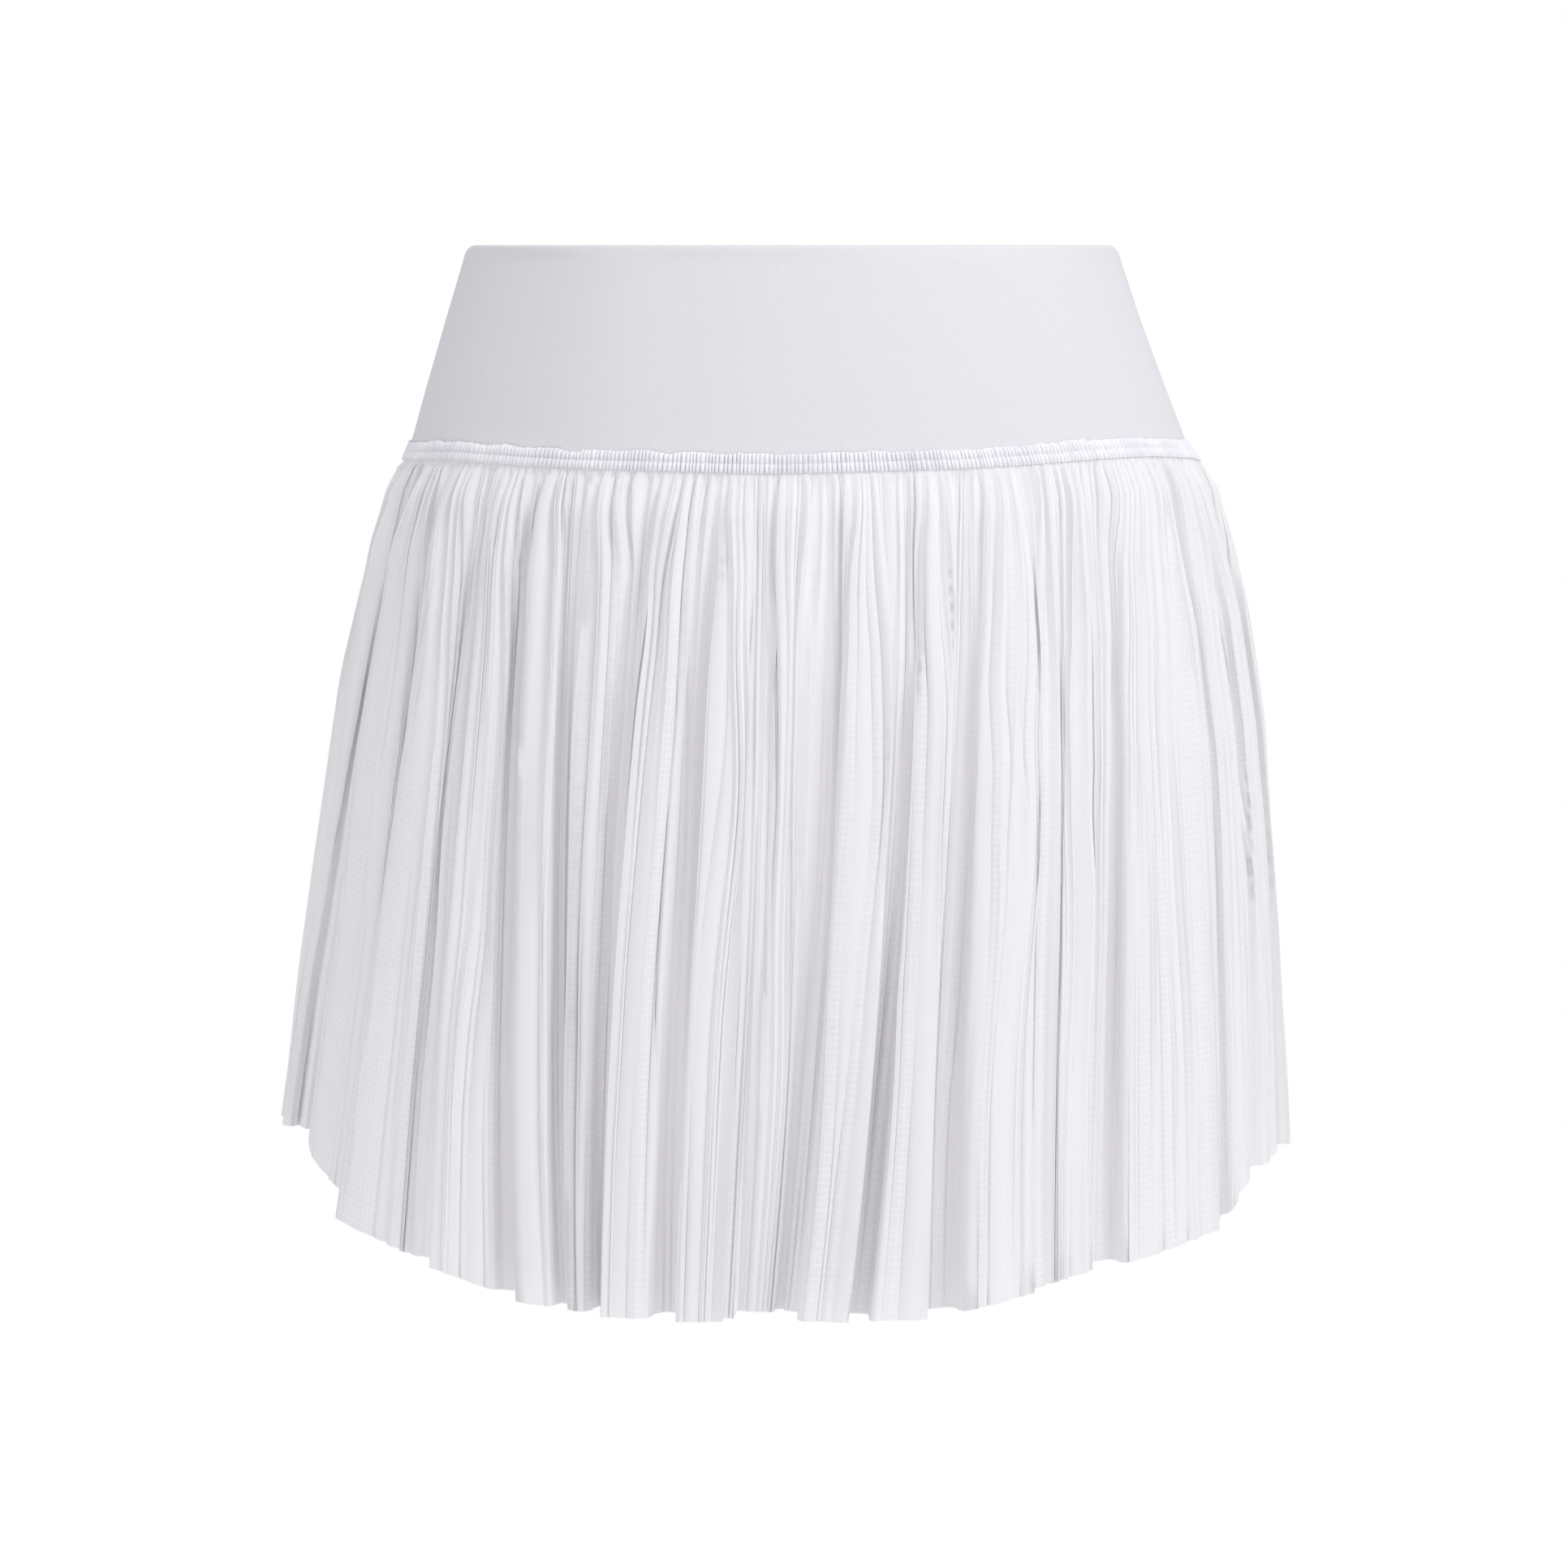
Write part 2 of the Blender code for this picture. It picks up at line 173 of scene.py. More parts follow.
BACK_FOLDS = (
    Fold(86.0, 92.0, 96.0, 0.3360, 0.011, 0.018, 0.34, 0.36, 0.5, 6, 0.40),
    Fold(103.0, 108.0, 111.0, 0.3440, 0.012, 0.022, 0.38, 0.34, -0.5, 6, 0.34),
    Fold(118.0, 121.0, 124.0, 0.3540, 0.012, 0.020, 0.42, 0.42, 0.3, 5, 0.62),
    Fold(132.0, 134.0, 135.0, 0.3620, 0.013, 0.023, 0.28, 0.34, 0.6, 7, 0.30),
    Fold(149.0, 151.0, 152.0, 0.3690, 0.011, 0.018, 0.44, 0.44, 0.0, 5, 0.70),
    Fold(163.0, 162.0, 161.0, 0.3720, 0.013, 0.025, 0.38, 0.34, -0.6, 6, 0.32),
    Fold(180.0, 176.0, 174.0, 0.3735, 0.012, 0.021, 0.36, 0.40, 0.3, 6, 0.44),
    Fold(194.0, 189.0, 187.0, 0.3725, 0.013, 0.024, 0.28, 0.30, 0.0, 8, 0.28),
    Fold(207.0, 205.0, 205.0, 0.3670, 0.012, 0.019, 0.42, 0.40, -0.3, 5, 0.72),
    Fold(221.0, 217.5, 216.0, 0.3600, 0.012, 0.023, 0.34, 0.38, 0.5, 6, 0.34),
    Fold(238.0, 230.0, 230.0, 0.3500, 0.011, 0.020, 0.28, 0.28, -0.5, 7, 0.30),
    Fold(258.0, 249.0, 246.0, 0.3370, 0.011, 0.018, 0.34, 0.30, 0.3, 5, 0.56),
)

ALL_FOLDS = FRONT_FOLDS + BACK_FOLDS

# Hollows and swells of the waistband, first those of the front and then like ones behind.
BAND_CREASES = (
    SoftCrease(-52.0, 13.0, 0.030, 0.060, -0.0014),
    SoftCrease(-30.0, 9.0, 0.045, 0.050, 0.0007),
    SoftCrease(-19.0, 7.0, 0.028, 0.055, -0.0008),
    SoftCrease(1.0, 8.0, 0.040, 0.050, -0.0006),
    SoftCrease(33.0, 14.0, 0.020, 0.045, 0.0006),
    SoftCrease(66.0, 9.0, 0.048, 0.040, -0.0008),
    SoftCrease(112.0, 12.0, 0.034, 0.050, -0.0011),
    SoftCrease(143.0, 9.0, 0.046, 0.048, 0.0007),
    SoftCrease(171.0, 8.0, 0.026, 0.055, -0.0008),
    SoftCrease(204.0, 12.0, 0.042, 0.050, 0.0006),
    SoftCrease(238.0, 11.0, 0.030, 0.050, -0.0010),
)

# Where the heading's line rises and dips, first those of the front and then like ones behind.
HEADING_RISES = (
    Rise(-58.0, 13.0, 0.0016),
    Rise(-4.0, 9.0, -0.0009),
    Rise(54.0, 17.0, 0.0033),
    Rise(87.0, 5.0, -0.0013),
    Rise(126.0, 17.0, 0.0024),
    Rise(183.0, 10.0, -0.0007),
    Rise(238.0, 13.0, 0.0016),
)


def ease(share: np.ndarray) -> np.ndarray:
    """A smooth step from 0 to 1, flat at both ends and beyond them."""
    return 0.5 - 0.5 * np.cos(np.pi * np.clip(share, 0.0, 1.0))


def between(start: float | np.ndarray, end: float | np.ndarray,
            share: np.ndarray) -> np.ndarray:
    """Values from start, where the share is 0, to end, where it is 1."""
    return start + (end - start) * share


def bell(angle: np.ndarray, middle: float, width: float) -> np.ndarray:
    """A bell curve round the garment, 1 at its middle.

    Args:
        angle: Where to read it, in radians.
        middle: The angle of its middle, in degrees.
        width: Its width in degrees.

    Returns:
        The curve's height at each angle.
    """
    turn = np.degrees(angle) - middle
    turn = (turn + 180.0) % 360.0 - 180.0
    return np.exp(-0.5 * (turn / width) ** 2)


def heading_rise(angle: np.ndarray) -> np.ndarray:
    """How much higher than level the heading's line runs at each angle."""
    return sum(rise.height * bell(angle, rise.angle, rise.width) for rise in HEADING_RISES)


def level_units(ways: np.ndarray) -> np.ndarray:
    """Make directions level and of length 1.

    Args:
        ways: The directions.

    Returns:
        The same directions without their height.
    """
    level = ways.copy()
    level[..., 2] = 0.0
    return level / np.linalg.norm(level, axis=-1, keepdims=True)


def square_to(ways: np.ndarray) -> np.ndarray:
    """Level directions out of the garment, square to level ways along rising angles."""
    return np.stack([ways[..., 1], -ways[..., 0], np.zeros(ways.shape[:-1])], axis=-1)


def along_cloth(points: np.ndarray) -> np.ndarray:
    """How far along the cloth each point of a row lies, from the first."""
    steps = np.linalg.norm(np.diff(points, axis=0), axis=1)
    return np.concatenate([[0.0], np.cumsum(steps)])


def sizes_at(sections: Sequence[Section], place: float | np.ndarray) -> np.ndarray:
    """Half sizes at places down a table of sections.

    Args:
        sections: The table, from the top down.
        place: Where to read it.

    Returns:
        One row for each place: left, right, front and back.
    """
    table = np.array(sections)
    columns = [np.interp(place, table[:, 0], table[:, number]) for number in range(1, 5)]
    return np.stack(columns, axis=-1)


def on_outline(sizes: np.ndarray, angle: np.ndarray) -> tuple[np.ndarray, np.ndarray]:
    """Points of outlines, and the level direction out of them.

    Args:
        sizes: Half sizes: left, right, front and back on the last axis.
        angle: Angles in radians.

    Returns:
        The points and the unit directions, both with a height of nought.
    """
    across = np.sin(angle)
    ahead = np.cos(angle)
    half_width = np.where(across > 0, sizes[..., 1], sizes[..., 0])
    half_depth = np.where(ahead > 0, sizes[..., 2], sizes[..., 3])
    flat = np.zeros_like(across)
    point = np.stack([half_width * across, -half_depth * ahead, flat], axis=-1)
    outward = np.stack([across / half_width, -ahead / half_depth, flat], axis=-1)
    return point, outward / np.linalg.norm(outward, axis=-1, keepdims=True)


def half_round(side: Side, top: Section, count: int) -> np.ndarray:
    """Angles from side seam to side seam, less half a seam gap at each."""
    reach = math.pi / 2 - SEAM_GAP / 2 / top.front
    return side.value + np.linspace(-reach, reach, count)


def steps_of(across: np.ndarray, rows: int) -> np.ndarray:
    """Each quad's start and end along the cloth, from its columns' places."""
    pairs = np.stack([across[:-1], across[1:]], axis=-1)
    return np.broadcast_to(pairs, (rows, *pairs.shape))


def place_piece(piece: bpy.types.Object) -> None:
    """Put a new object into the scene."""
    bpy.context.scene.collection.objects.link(piece)


class QuadSheet:
    """Quads with their places on the cloth, kept until a mesh is made of them."""

    def __init__(self) -> None:
        """Start with no quads."""
        self.faces: list[np.ndarray] = []
        self.corners: list[np.ndarray] = []

    def add(self, points: Sequence[np.ndarray], spots: Sequence[np.ndarray],
            turned: bool = False) -> None:
        """Keep a set of quads.

        Args:
            points: The numbers of their points, corner by corner.
            spots: The corners' places on the cloth.
            turned: Whether they are listed the wrong way round.
        """
        order = slice(None, None, -1 if turned else 1)
        self.faces.append(np.stack(points[order], axis=-1).reshape(-1, 4))
        self.corners.append(np.stack(spots[order], axis=-2).reshape(-1, 4, 2))

    def mesh(self, name: str, points: np.ndarray) -> bpy.types.Mesh:
        """A mesh of all the quads, with a UV map in metres.

        Args:
            name: The mesh's name.
            points: Every point.

        Returns:
            The mesh.
        """
        mesh = bpy.data.meshes.new(name)
        mesh.from_pydata(points.tolist(), [], np.concatenate(self.faces).tolist())
        layer = mesh.uv_layers.new(name=UV_NAME)
        layer.data.foreach_set("uv", np.concatenate(self.corners).ravel())
        return mesh


def wall_mesh(name: str, outer: np.ndarray, inner: np.ndarray, across: np.ndarray,
              down: np.ndarray, sharp_degrees: float,
              marks: Optional[dict[str, np.ndarray]] = None) -> bpy.types.Object:
    """One closed sheet of cloth from two grids of points.

    Args:
        name: The object's name.
        outer: Rows from the top down of points along rising angles.
        inner: The same points on the inside.
        across: Where each quad of each row starts and ends along the cloth.
        down: Each row's place down the cloth.
        sharp_degrees: Faces that meet at more than this angle show an edge.
        marks: Values for the material, by name, with one for each point of a grid.

    Returns:
        The new object, linked to the scene.
    """
    rows, columns = outer.shape[:2]
    count = rows * columns
    place = np.arange(count).reshape(rows, columns)
    height = np.broadcast_to(down[:, None], across.shape[:2])
    starts = np.stack([across[..., 0], height], axis=-1)
    ends = np.stack([across[..., 1], height], axis=-1)
    quads = QuadSheet()
    spots = (starts[:-1], starts[1:], ends[1:], ends[:-1])
    for extra, turned in ((0, False), (count, True)):
        near, far = place[:, :-1] + extra, place[:, 1:] + extra
        quads.add((near[:-1], near[1:], far[1:], far[:-1]), spots, turned)
    for row, turned in ((0, False), (-1, True)):
        ring = (near[row], near[row] - count, far[row] - count, far[row])
        quads.add(ring, (starts[row], starts[row], ends[row], ends[row]), turned)
    for column, spot, turned in ((place[:, 0], starts[:, 0], False),
                                 (place[:, -1], ends[:, -1], True)):
        ring = (column[:-1], column[:-1] + count, column[1:] + count, column[1:])
        quads.add(ring, (spot[:-1], spot[:-1], spot[1:], spot[1:]), turned)
    mesh = quads.mesh(name, np.concatenate([outer.reshape(-1, 3), inner.reshape(-1, 3)]))
    for title, values in (marks or {}).items():
        mark = mesh.attributes.new(title, "FLOAT", "POINT")
        mark.data.foreach_set("value", np.tile(values.ravel(), 2))
    mesh.shade_smooth()
    mesh.set_sharp_from_angle(angle=math.radians(sharp_degrees))
    mesh.update()
    piece = bpy.data.objects.new(name, mesh)
    place_piece(piece)
    return piece


class NodeBoard:
    """A node tree with short calls for the nodes of the finishes and the stitches."""

    def __init__(self, tree: bpy.types.NodeTree) -> None:
        """Keep the tree that the nodes go into."""
        self.tree = tree

    def feed(self, target: bpy.types.NodeSocket, value: object) -> None:
        """Link a socket to an input, or set the input to a plain value.

        Args:
            target: The input.
            value: A node's output, or the value.
        """
        if isinstance(value, bpy.types.NodeSocket):
            self.tree.links.new(value, target)
        else:
            target.default_value = value

    def add(self, kind: str, feeds: Optional[dict[int | str, object]] = None,
            **settings: object) -> bpy.types.Node:
        """A new node.

        Args:
            kind: The node's type.
            feeds: A socket or a plain value for each input, by the input's name or number.
            settings: The node's own settings.

        Returns:
            The node.
        """
        node = self.tree.nodes.new(kind)
        for name, value in settings.items():
            setattr(node, name, value)
        for title, value in (feeds or {}).items():
            self.feed(node.inputs[title], value)
        return node

    def math(self, operation: str, *values: object) -> bpy.types.NodeSocket:
        """A Math node's result, from sockets and numbers."""
        feeds = dict(enumerate(values))
        return self.add("ShaderNodeMath", feeds, operation=operation).outputs[0]

    def noise(self, place: bpy.types.NodeSocket, scale: float,
              detail: float) -> bpy.types.NodeSocket:
        """The value of a noise pattern at a place."""
        feeds = {"Vector": place, "Scale": scale, "Detail": detail}
        return self.add("ShaderNodeTexNoise", feeds).outputs["Fac"]

    def step(self, value: bpy.types.NodeSocket, low: object, high: object, start: float,
             end: float) -> bpy.types.NodeSocket:
        """A smooth step.

        Args:
            value: What it follows.
            low: The value up to which the result is start.
            high: The value from which the result is end.
            start: The result before the step.
            end: The result after the step.

        Returns:
            The step.
        """
        feeds = {"Value": value, "From Min": low, "From Max": high, "To Min": start, "To Max": end}
        ramp = self.add("ShaderNodeMapRange", feeds, interpolation_type="SMOOTHSTEP")
        return ramp.outputs["Result"]

    def pulse(self, place: bpy.types.NodeSocket, pitch: object, width: object,
              softness: float) -> bpy.types.NodeSocket:
        """Lines along a place: 1 on a line and 0 between them.

        Args:
            place: Where along the pattern.
            pitch: From one line to the next.
            width: Half of a line's width, as a share of the pitch.
            softness: Half of the width of each of its two edges, as such a share.

        Returns:
            The lines.
        """
        turn = self.math("FRACT", self.math("DIVIDE", place, pitch))
        away = self.math("ABSOLUTE", self.math("SUBTRACT", turn, 0.5))
        edge = self.math("SUBTRACT", 0.5, away)
        low = self.math("SUBTRACT", width, softness)
        high = self.math("ADD", width, softness)
        return self.step(edge, low, high, 1.0, 0.0)


def group_with(name: str, inputs: dict[str, float], outputs: Sequence[str]) -> NodeBoard:
    """An empty shader node group with float inputs and outputs.

    Args:
        name: The group's name.
        inputs: Each input's name and its usual value. A vector called Place comes first.
        outputs: The names of the outputs.

    Returns:
        The board of the new group.
    """
    tree = bpy.data.node_groups.new(name, "ShaderNodeTree")
    tree.interface.new_socket("Place", in_out="INPUT", socket_type="NodeSocketVector")
    for title, value in inputs.items():
        socket = tree.interface.new_socket(title, in_out="INPUT", socket_type="NodeSocketFloat")
        socket.default_value = value
    for title in outputs:
        tree.interface.new_socket(title, in_out="OUTPUT", socket_type="NodeSocketFloat")
    return NodeBoard(tree)


@dataclass(frozen=True)
class GridWeave:
    """The open grid mesh: thicker threads round small windows, with a fuzz of fibres.

    The windows and the unevenness are in metres, the scales are per metre and the rest are
    shares. The grid shows fully in some patches and down to patch_least in others.
    """

    window_width: float = 0.0021
    window_length: float = 0.0023
    thread_share: float = 0.12
    unevenness: float = 0.00035
    upright_softness: float = 0.08
    level_softness: float = 0.07
    wander_scale: float = 190.0
    fibre_scale: float = 2600.0
    fuzz: float = 0.35
    patch_scale: float = 34.0
    patch_edges: tuple[float, float] = (0.30, 0.62)
    patch_least: float = 0.60

    def group(self) -> bpy.types.ShaderNodeTree:
        """A group that puts out the threads, their height and the patches.

        Returns:
            The group.
        """
        usual = {"Window Width": self.window_width, "Window Length": self.window_length,
                 "Thread Share": self.thread_share, "Unevenness": self.unevenness}
        board = group_with("open_grid_weave", usual, ("Threads", "Height", "Patches"))
        given = board.add("NodeGroupInput").outputs
        place, share = given["Place"], given["Thread Share"]
        wander = board.math("SUBTRACT", board.noise(place, self.wander_scale, 2.0), 0.5)
        drift = board.math("MULTIPLY", wander, given["Unevenness"])
        split = board.add("ShaderNodeSeparateXYZ", {"Vector": place}).outputs
        across = board.math("ADD", split["X"], drift)
        down = board.math("ADD", split["Y"], drift)
        upright = board.pulse(across, given["Window Width"], share, self.upright_softness)
        level = board.pulse(down, given["Window Length"], share, self.level_softness)
        threads = board.math("MAXIMUM", upright, level)
        fuzz = board.math("MULTIPLY", board.noise(place, self.fibre_scale, 3.0), self.fuzz)
        patch = board.noise(place, self.patch_scale, 2.0)
        patches = board.step(patch, *self.patch_edges, self.patch_least, 1.0)
        board.add("NodeGroupOutput", {"Threads": threads, "Patches": patches,
                                      "Height": board.math("ADD", threads, fuzz)})
        return board.tree


@dataclass(frozen=True)
class CloseKnit:
    """A close double knit: upright wales crossed by faint courses, slightly mottled."""

    wale: float = 0.0009
    course: float = 0.0007
    loop_share: float = 0.24
    softness: float = 0.20
    course_height: float = 0.5
    mottle_scale: float = 420.0
    mottle_height: float = 0.8

    def group(self) -> bpy.types.ShaderNodeTree:
        """A group that puts out the wales, the knit's height and its mottle.

        Returns:
            The group.
        """
        usual = {"Wale": self.wale, "Course": self.course}
        board = group_with("close_knit", usual, ("Wales", "Height", "Mottle"))
        given = board.add("NodeGroupInput").outputs
        split = board.add("ShaderNodeSeparateXYZ", {"Vector": given["Place"]}).outputs
        wales = board.pulse(split["X"], given["Wale"], self.loop_share, self.softness)
        courses = board.pulse(split["Y"], given["Course"], self.loop_share, self.softness)
        mottle = board.noise(given["Place"], self.mottle_scale, 4.0)
        crossed = board.math("MULTIPLY", courses, self.course_height)
        loops = board.math("SUBTRACT", wales, crossed)
        rough = board.math("MULTIPLY", mottle, self.mottle_height)
        board.add("NodeGroupOutput", {"Wales": wales, "Mottle": mottle,
                                      "Height": board.math("ADD", loops, rough)})
        return board.tree


@dataclass(frozen=True)
class ClothFinish:
    """What every white cloth of the garment shares."""

    name: str
    light: tuple[float, float, float]
    dark: tuple[float, float, float]
    roughness: float
    sheen: float
    relief: float
    glow: float = 0.0
    glow_reach: tuple[float, float, float] = (0.0020, 0.0020, 0.0021)
    shine: float = 0.18
    bump_strength: float = 0.5

    def start(self) -> tuple[bpy.types.Material, NodeBoard, bpy.types.Node]:
        """A new material with its shader's fixed values.

        Returns:
            The material, its board and its shader.
        """
        material = bpy.data.materials.new(self.name)
        material.use_nodes = True
        shader = material.node_tree.nodes["Principled BSDF"]
        values = {"Roughness": self.roughness, "Sheen Weight": self.sheen,
                  "Specular IOR Level": self.shine, "Subsurface Weight": self.glow,
                  "Subsurface Radius": self.glow_reach, "Subsurface Scale": 1.0}
        for title, value in values.items():
            shader.inputs[title].default_value = value
        return material, NodeBoard(material.node_tree), shader

    def on_cloth(self, board: NodeBoard,
                 pattern: bpy.types.ShaderNodeTree) -> bpy.types.bpy_prop_collection:
        """The outputs of a pattern that is laid on the cloth's own UV map."""
        place = board.add("ShaderNodeUVMap", uv_map=UV_NAME).outputs["UV"]
        return board.add("ShaderNodeGroup", {"Place": place}, node_tree=pattern).outputs

    def mark(self, board: NodeBoard, name: str) -> bpy.types.NodeSocket:
        """A value that the piece's points carry."""
        return board.add("ShaderNodeAttribute", attribute_name=name).outputs["Fac"]

    def colour(self, board: NodeBoard, shader: bpy.types.Node,
               lightness: bpy.types.NodeSocket) -> None:
        """Feed the base colour.

        Args:
            board: The material's board.
            shader: The material's shader.
            lightness: 0 where the colour is the dark one and 1 where it is the light one.
        """
        feeds = {"Factor": lightness, 6: (*self.dark, 1.0), 7: (*self.light, 1.0)}
        mix = board.add("ShaderNodeMix", feeds, data_type="RGBA", clamp_factor=True)
        board.feed(shader.inputs["Base Color"], mix.outputs[2])

    def bump(self, board: NodeBoard, shader: bpy.types.Node,
             height: bpy.types.NodeSocket) -> None:
        """Feed the normal.

        Args:
            board: The material's board.
            shader: The material's shader.
            height: The surface's height, from 0 to about 1.
        """
        feeds = {"Strength": self.bump_strength, "Distance": self.relief, "Height": height}
        bump = board.add("ShaderNodeBump", feeds)
        board.feed(shader.inputs["Normal"], bump.outputs["Normal"])


@dataclass(frozen=True)
class MeshFinish(ClothFinish):
    """The skirt's open grid mesh.

    Lightness is plain where the cloth is smooth. Windows lower it with painted shade, for
    the dark inside seen through them: by window_depth where the weave shows and by
    hidden_depth where it doesn't. Threads raise it, and so does the lighter
    line of the ridge creases, partly the denser folded cloth and partly painted highlight.
    """

    plain: float = 0.78
    # Painted shade of the dark inside, seen through the windows where the weave shows and where it
    # is hidden.
    window_depth: float = 0.40
    hidden_depth: float = 0.04
    hidden_relief: float = 0.10
    thread_light: float = 0.28
    # How much lighter ridge creases are drawn: partly the denser folded cloth, partly painted
    # highlight.
    pressed_light: float = 0.45

    def make(self, weave: bpy.types.ShaderNodeTree) -> bpy.types.Material:
        """The finished material, on the cloth's own UV map and its points' values.

        Args:
            weave: The group that gives the grid.

        Returns:
            The material.
        """
        material, board, shader = self.start()
        cloth = self.on_cloth(board, weave)
        # The windows are darkened with painted shade of the dark inside seen through them.
        windows = board.math("SUBTRACT", 1.0, cloth["Threads"])
        shown = board.math("MULTIPLY", self.mark(board, "weave_shown"), cloth["Patches"])
        depth = board.math("MULTIPLY_ADD", shown, self.window_depth, self.hidden_depth)
        depth = board.math("MULTIPLY", windows, depth)
        # Ridge creases are drawn lighter, partly for the denser folded cloth and partly as painted
        # highlight.
        pressed = board.math("MULTIPLY", self.mark(board, "pressed"), self.pressed_light)
        plain = board.math("ADD", self.plain, pressed)
        threads = board.math("MULTIPLY", cloth["Threads"], shown)
        plain = board.math("MULTIPLY_ADD", threads, self.thread_light, plain)
        self.colour(board, shader, board.math("SUBTRACT", plain, depth))
        raised = board.math("ADD", shown, self.hidden_relief)
        self.bump(board, shader, board.math("MULTIPLY", cloth["Height"], raised))
        return material


@dataclass(frozen=True)
class KnitFinish(ClothFinish):
    """The waistband's close knit."""

    wale_light: float = 0.45

    def make(self, knit: bpy.types.ShaderNodeTree) -> bpy.types.Material:
        """The finished material, on the cloth's own UV map.

        Args:
            knit: The group that gives the knit.

        Returns:
            The material.
        """
        material, board, shader = self.start()
        cloth = self.on_cloth(board, knit)
        wales = board.math("MULTIPLY", cloth["Wales"], self.wale_light)
        self.colour(board, shader, board.math("ADD", wales, cloth["Mottle"]))
        self.bump(board, shader, cloth["Height"])
        return material


@dataclass(frozen=True)
class ThreadFinish(ClothFinish):
    """Sewing thread, and the tightly gathered cloth of the heading."""

    grain: float = 1500.0
    # How far the points' values darken the cloth with painted shade in the rib troughs and a
    # darker tone along runs of ribs.
    shaded: float = 0.0
    lift: float = 0.3

    def make(self) -> bpy.types.Material:
        """The finished material, on object coordinates and its points' values.

        Returns:
            The material.
        """
        material, board, shader = self.start()
        place = board.add("ShaderNodeTexCoord").outputs["Object"]
        fibres = board.noise(place, self.grain, 3.0)
        lightness = fibres
        if self.shaded > 0.0:
            # The points' values darken the cloth with painted shade in the rib troughs and a
            # darker random tone along runs of ribs.
            deeper = board.math("MULTIPLY", self.mark(board, "shaded"), self.shaded)
            lightness = board.math("SUBTRACT", board.math("ADD", fibres, self.lift), deeper)
        self.colour(board, shader, lightness)
        self.bump(board, shader, fibres)
        return material


@dataclass
class Waistband:
    """The stretched knit band, folded at its upper edge."""

    finish: bpy.types.Material
    height: float = BAND_SECTIONS[-1].place
    wall: float = 0.0020
    corner: float = 0.0045
    columns: int = 220
    rows: int = 56
    edge_rows: int = 8
    edge_drop: float = 0.0016
    edge_rounding: float = 0.9
    calm_top: float = 0.006
    calm_bottom: float = 0.012
    sharp_from: float = 60.0

    def swell(self, angle: np.ndarray, drop: np.ndarray) -> np.ndarray:
        """How far the soft creases move the band out, fading at both of its edges.

        Args:
            angle: Where round the band, in radians.
            drop: How far down the band.

        Returns:
            A distance for each place.
        """
        total = np.zeros(np.broadcast(angle, drop).shape)
        for crease in BAND_CREASES:
            sideways = bell(angle, crease.angle, crease.width)
            upright = np.exp(-0.5 * ((drop - crease.drop) / crease.reach) ** 2)
            total = total + crease.height * sideways * upright
        return total * ease(drop / self.calm_top) * ease((self.height - drop) / self.calm_bottom)

    def wall_points(self, side: Side, drop: np.ndarray, inset: np.ndarray) -> np.ndarray:
        """Points of one face of the band, whose top rounds down at the two sides.

        Args:
            side: Which half of the band.
            drop: Each row's place down the band.
            inset: How far in from the band's outline each row lies.

        Returns:
            Rows of points along rising angles.
        """
        top = BAND_SECTIONS[0]
        angle = half_round(side, top, self.columns + 1)
        angle = np.broadcast_to(angle, (len(drop), self.columns + 1))
        point, outward = on_outline(sizes_at(BAND_SECTIONS, drop)[:, None, :], angle)
        half_width = np.where(point[..., 0] > 0, top.right, top.left)
        into = np.clip(half_width * np.abs(np.sin(angle)) - half_width + self.corner, 0, None)
        sag = self.corner - np.sqrt(np.clip(self.corner ** 2 - into ** 2, 0, None))
        share = (drop / self.height)[:, None]
        out = self.swell(angle, drop[:, None]) - inset[:, None]
        point = point + outward * out[..., None]
        point[..., 2] = -(sag + (self.height - sag - heading_rise(angle)) * share)
        return point

    def make(self, side: Side) -> bpy.types.Object:
        """Build one half of the band, dress it and set it in its node's place.

        Args:
            side: Which half.

        Returns:
            The half.
        """
        rounding = np.linspace(0.0, math.pi / 2, self.edge_rows, endpoint=False)
        edge = self.edge_drop * (1.0 - np.cos(rounding))
        drops = np.concatenate([edge, np.linspace(self.edge_drop, self.height, self.rows)])
        rounded = self.wall / 2 * (1.0 - np.sin(rounding))
        insets = np.concatenate([rounded * self.edge_rounding, np.zeros(self.rows)])
        outer = self.wall_points(side, drops, insets)
        inner = self.wall_points(side, drops, self.wall - insets)
        across = along_cloth(outer[len(drops) // 2])
        name = f"knit_waistband_{side.word}"
        steps = steps_of(across, len(drops))
        piece = wall_mesh(name, outer, inner, steps, drops, self.sharp_from)
        piece.data.materials.append(self.finish)
        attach(piece, BODY)
        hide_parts(f"waistband_{side.word}")
        return piece


@dataclass(frozen=True)
class GatherRule:
    """Sizes of the gathers, in metres or as shares.

    Pairs are the least and the most that a draw may give. A gather closes up or opens out
    below the heading, and is turned where it lies left of turned_before.
    """

    height: float = 0.0043
    height_at_top: float = 0.0013
    height_at_hem: float = 0.0003
    steepness: float = 0.50
    sunk: float = 0.42
    lean: float = 0.45
    calmer: float = 0.55
    turned_before: float = -15.0
    turned_tilt: float = 0.75
    narrowest_flank: float = 0.27
    full_until: float = 0.05
    floors: tuple[float, float] = (0.05, 0.36)
    flanks: tuple[float, float] = (0.12, 0.50)
    tilts: tuple[float, float] = (-0.7, 0.7)
    reaches: tuple[float, float] = (0.16, 0.60)
    heights: tuple[float, float] = (0.55, 1.30)
    closing_below: float = 0.34
    closed: tuple[float, float] = (0.18, 0.50)
    opening_above: float = 0.70
    opened: tuple[float, float] = (1.5, 2.4)
    change_from: float = 0.01
    change_lengths: tuple[float, float] = (0.10, 0.45)


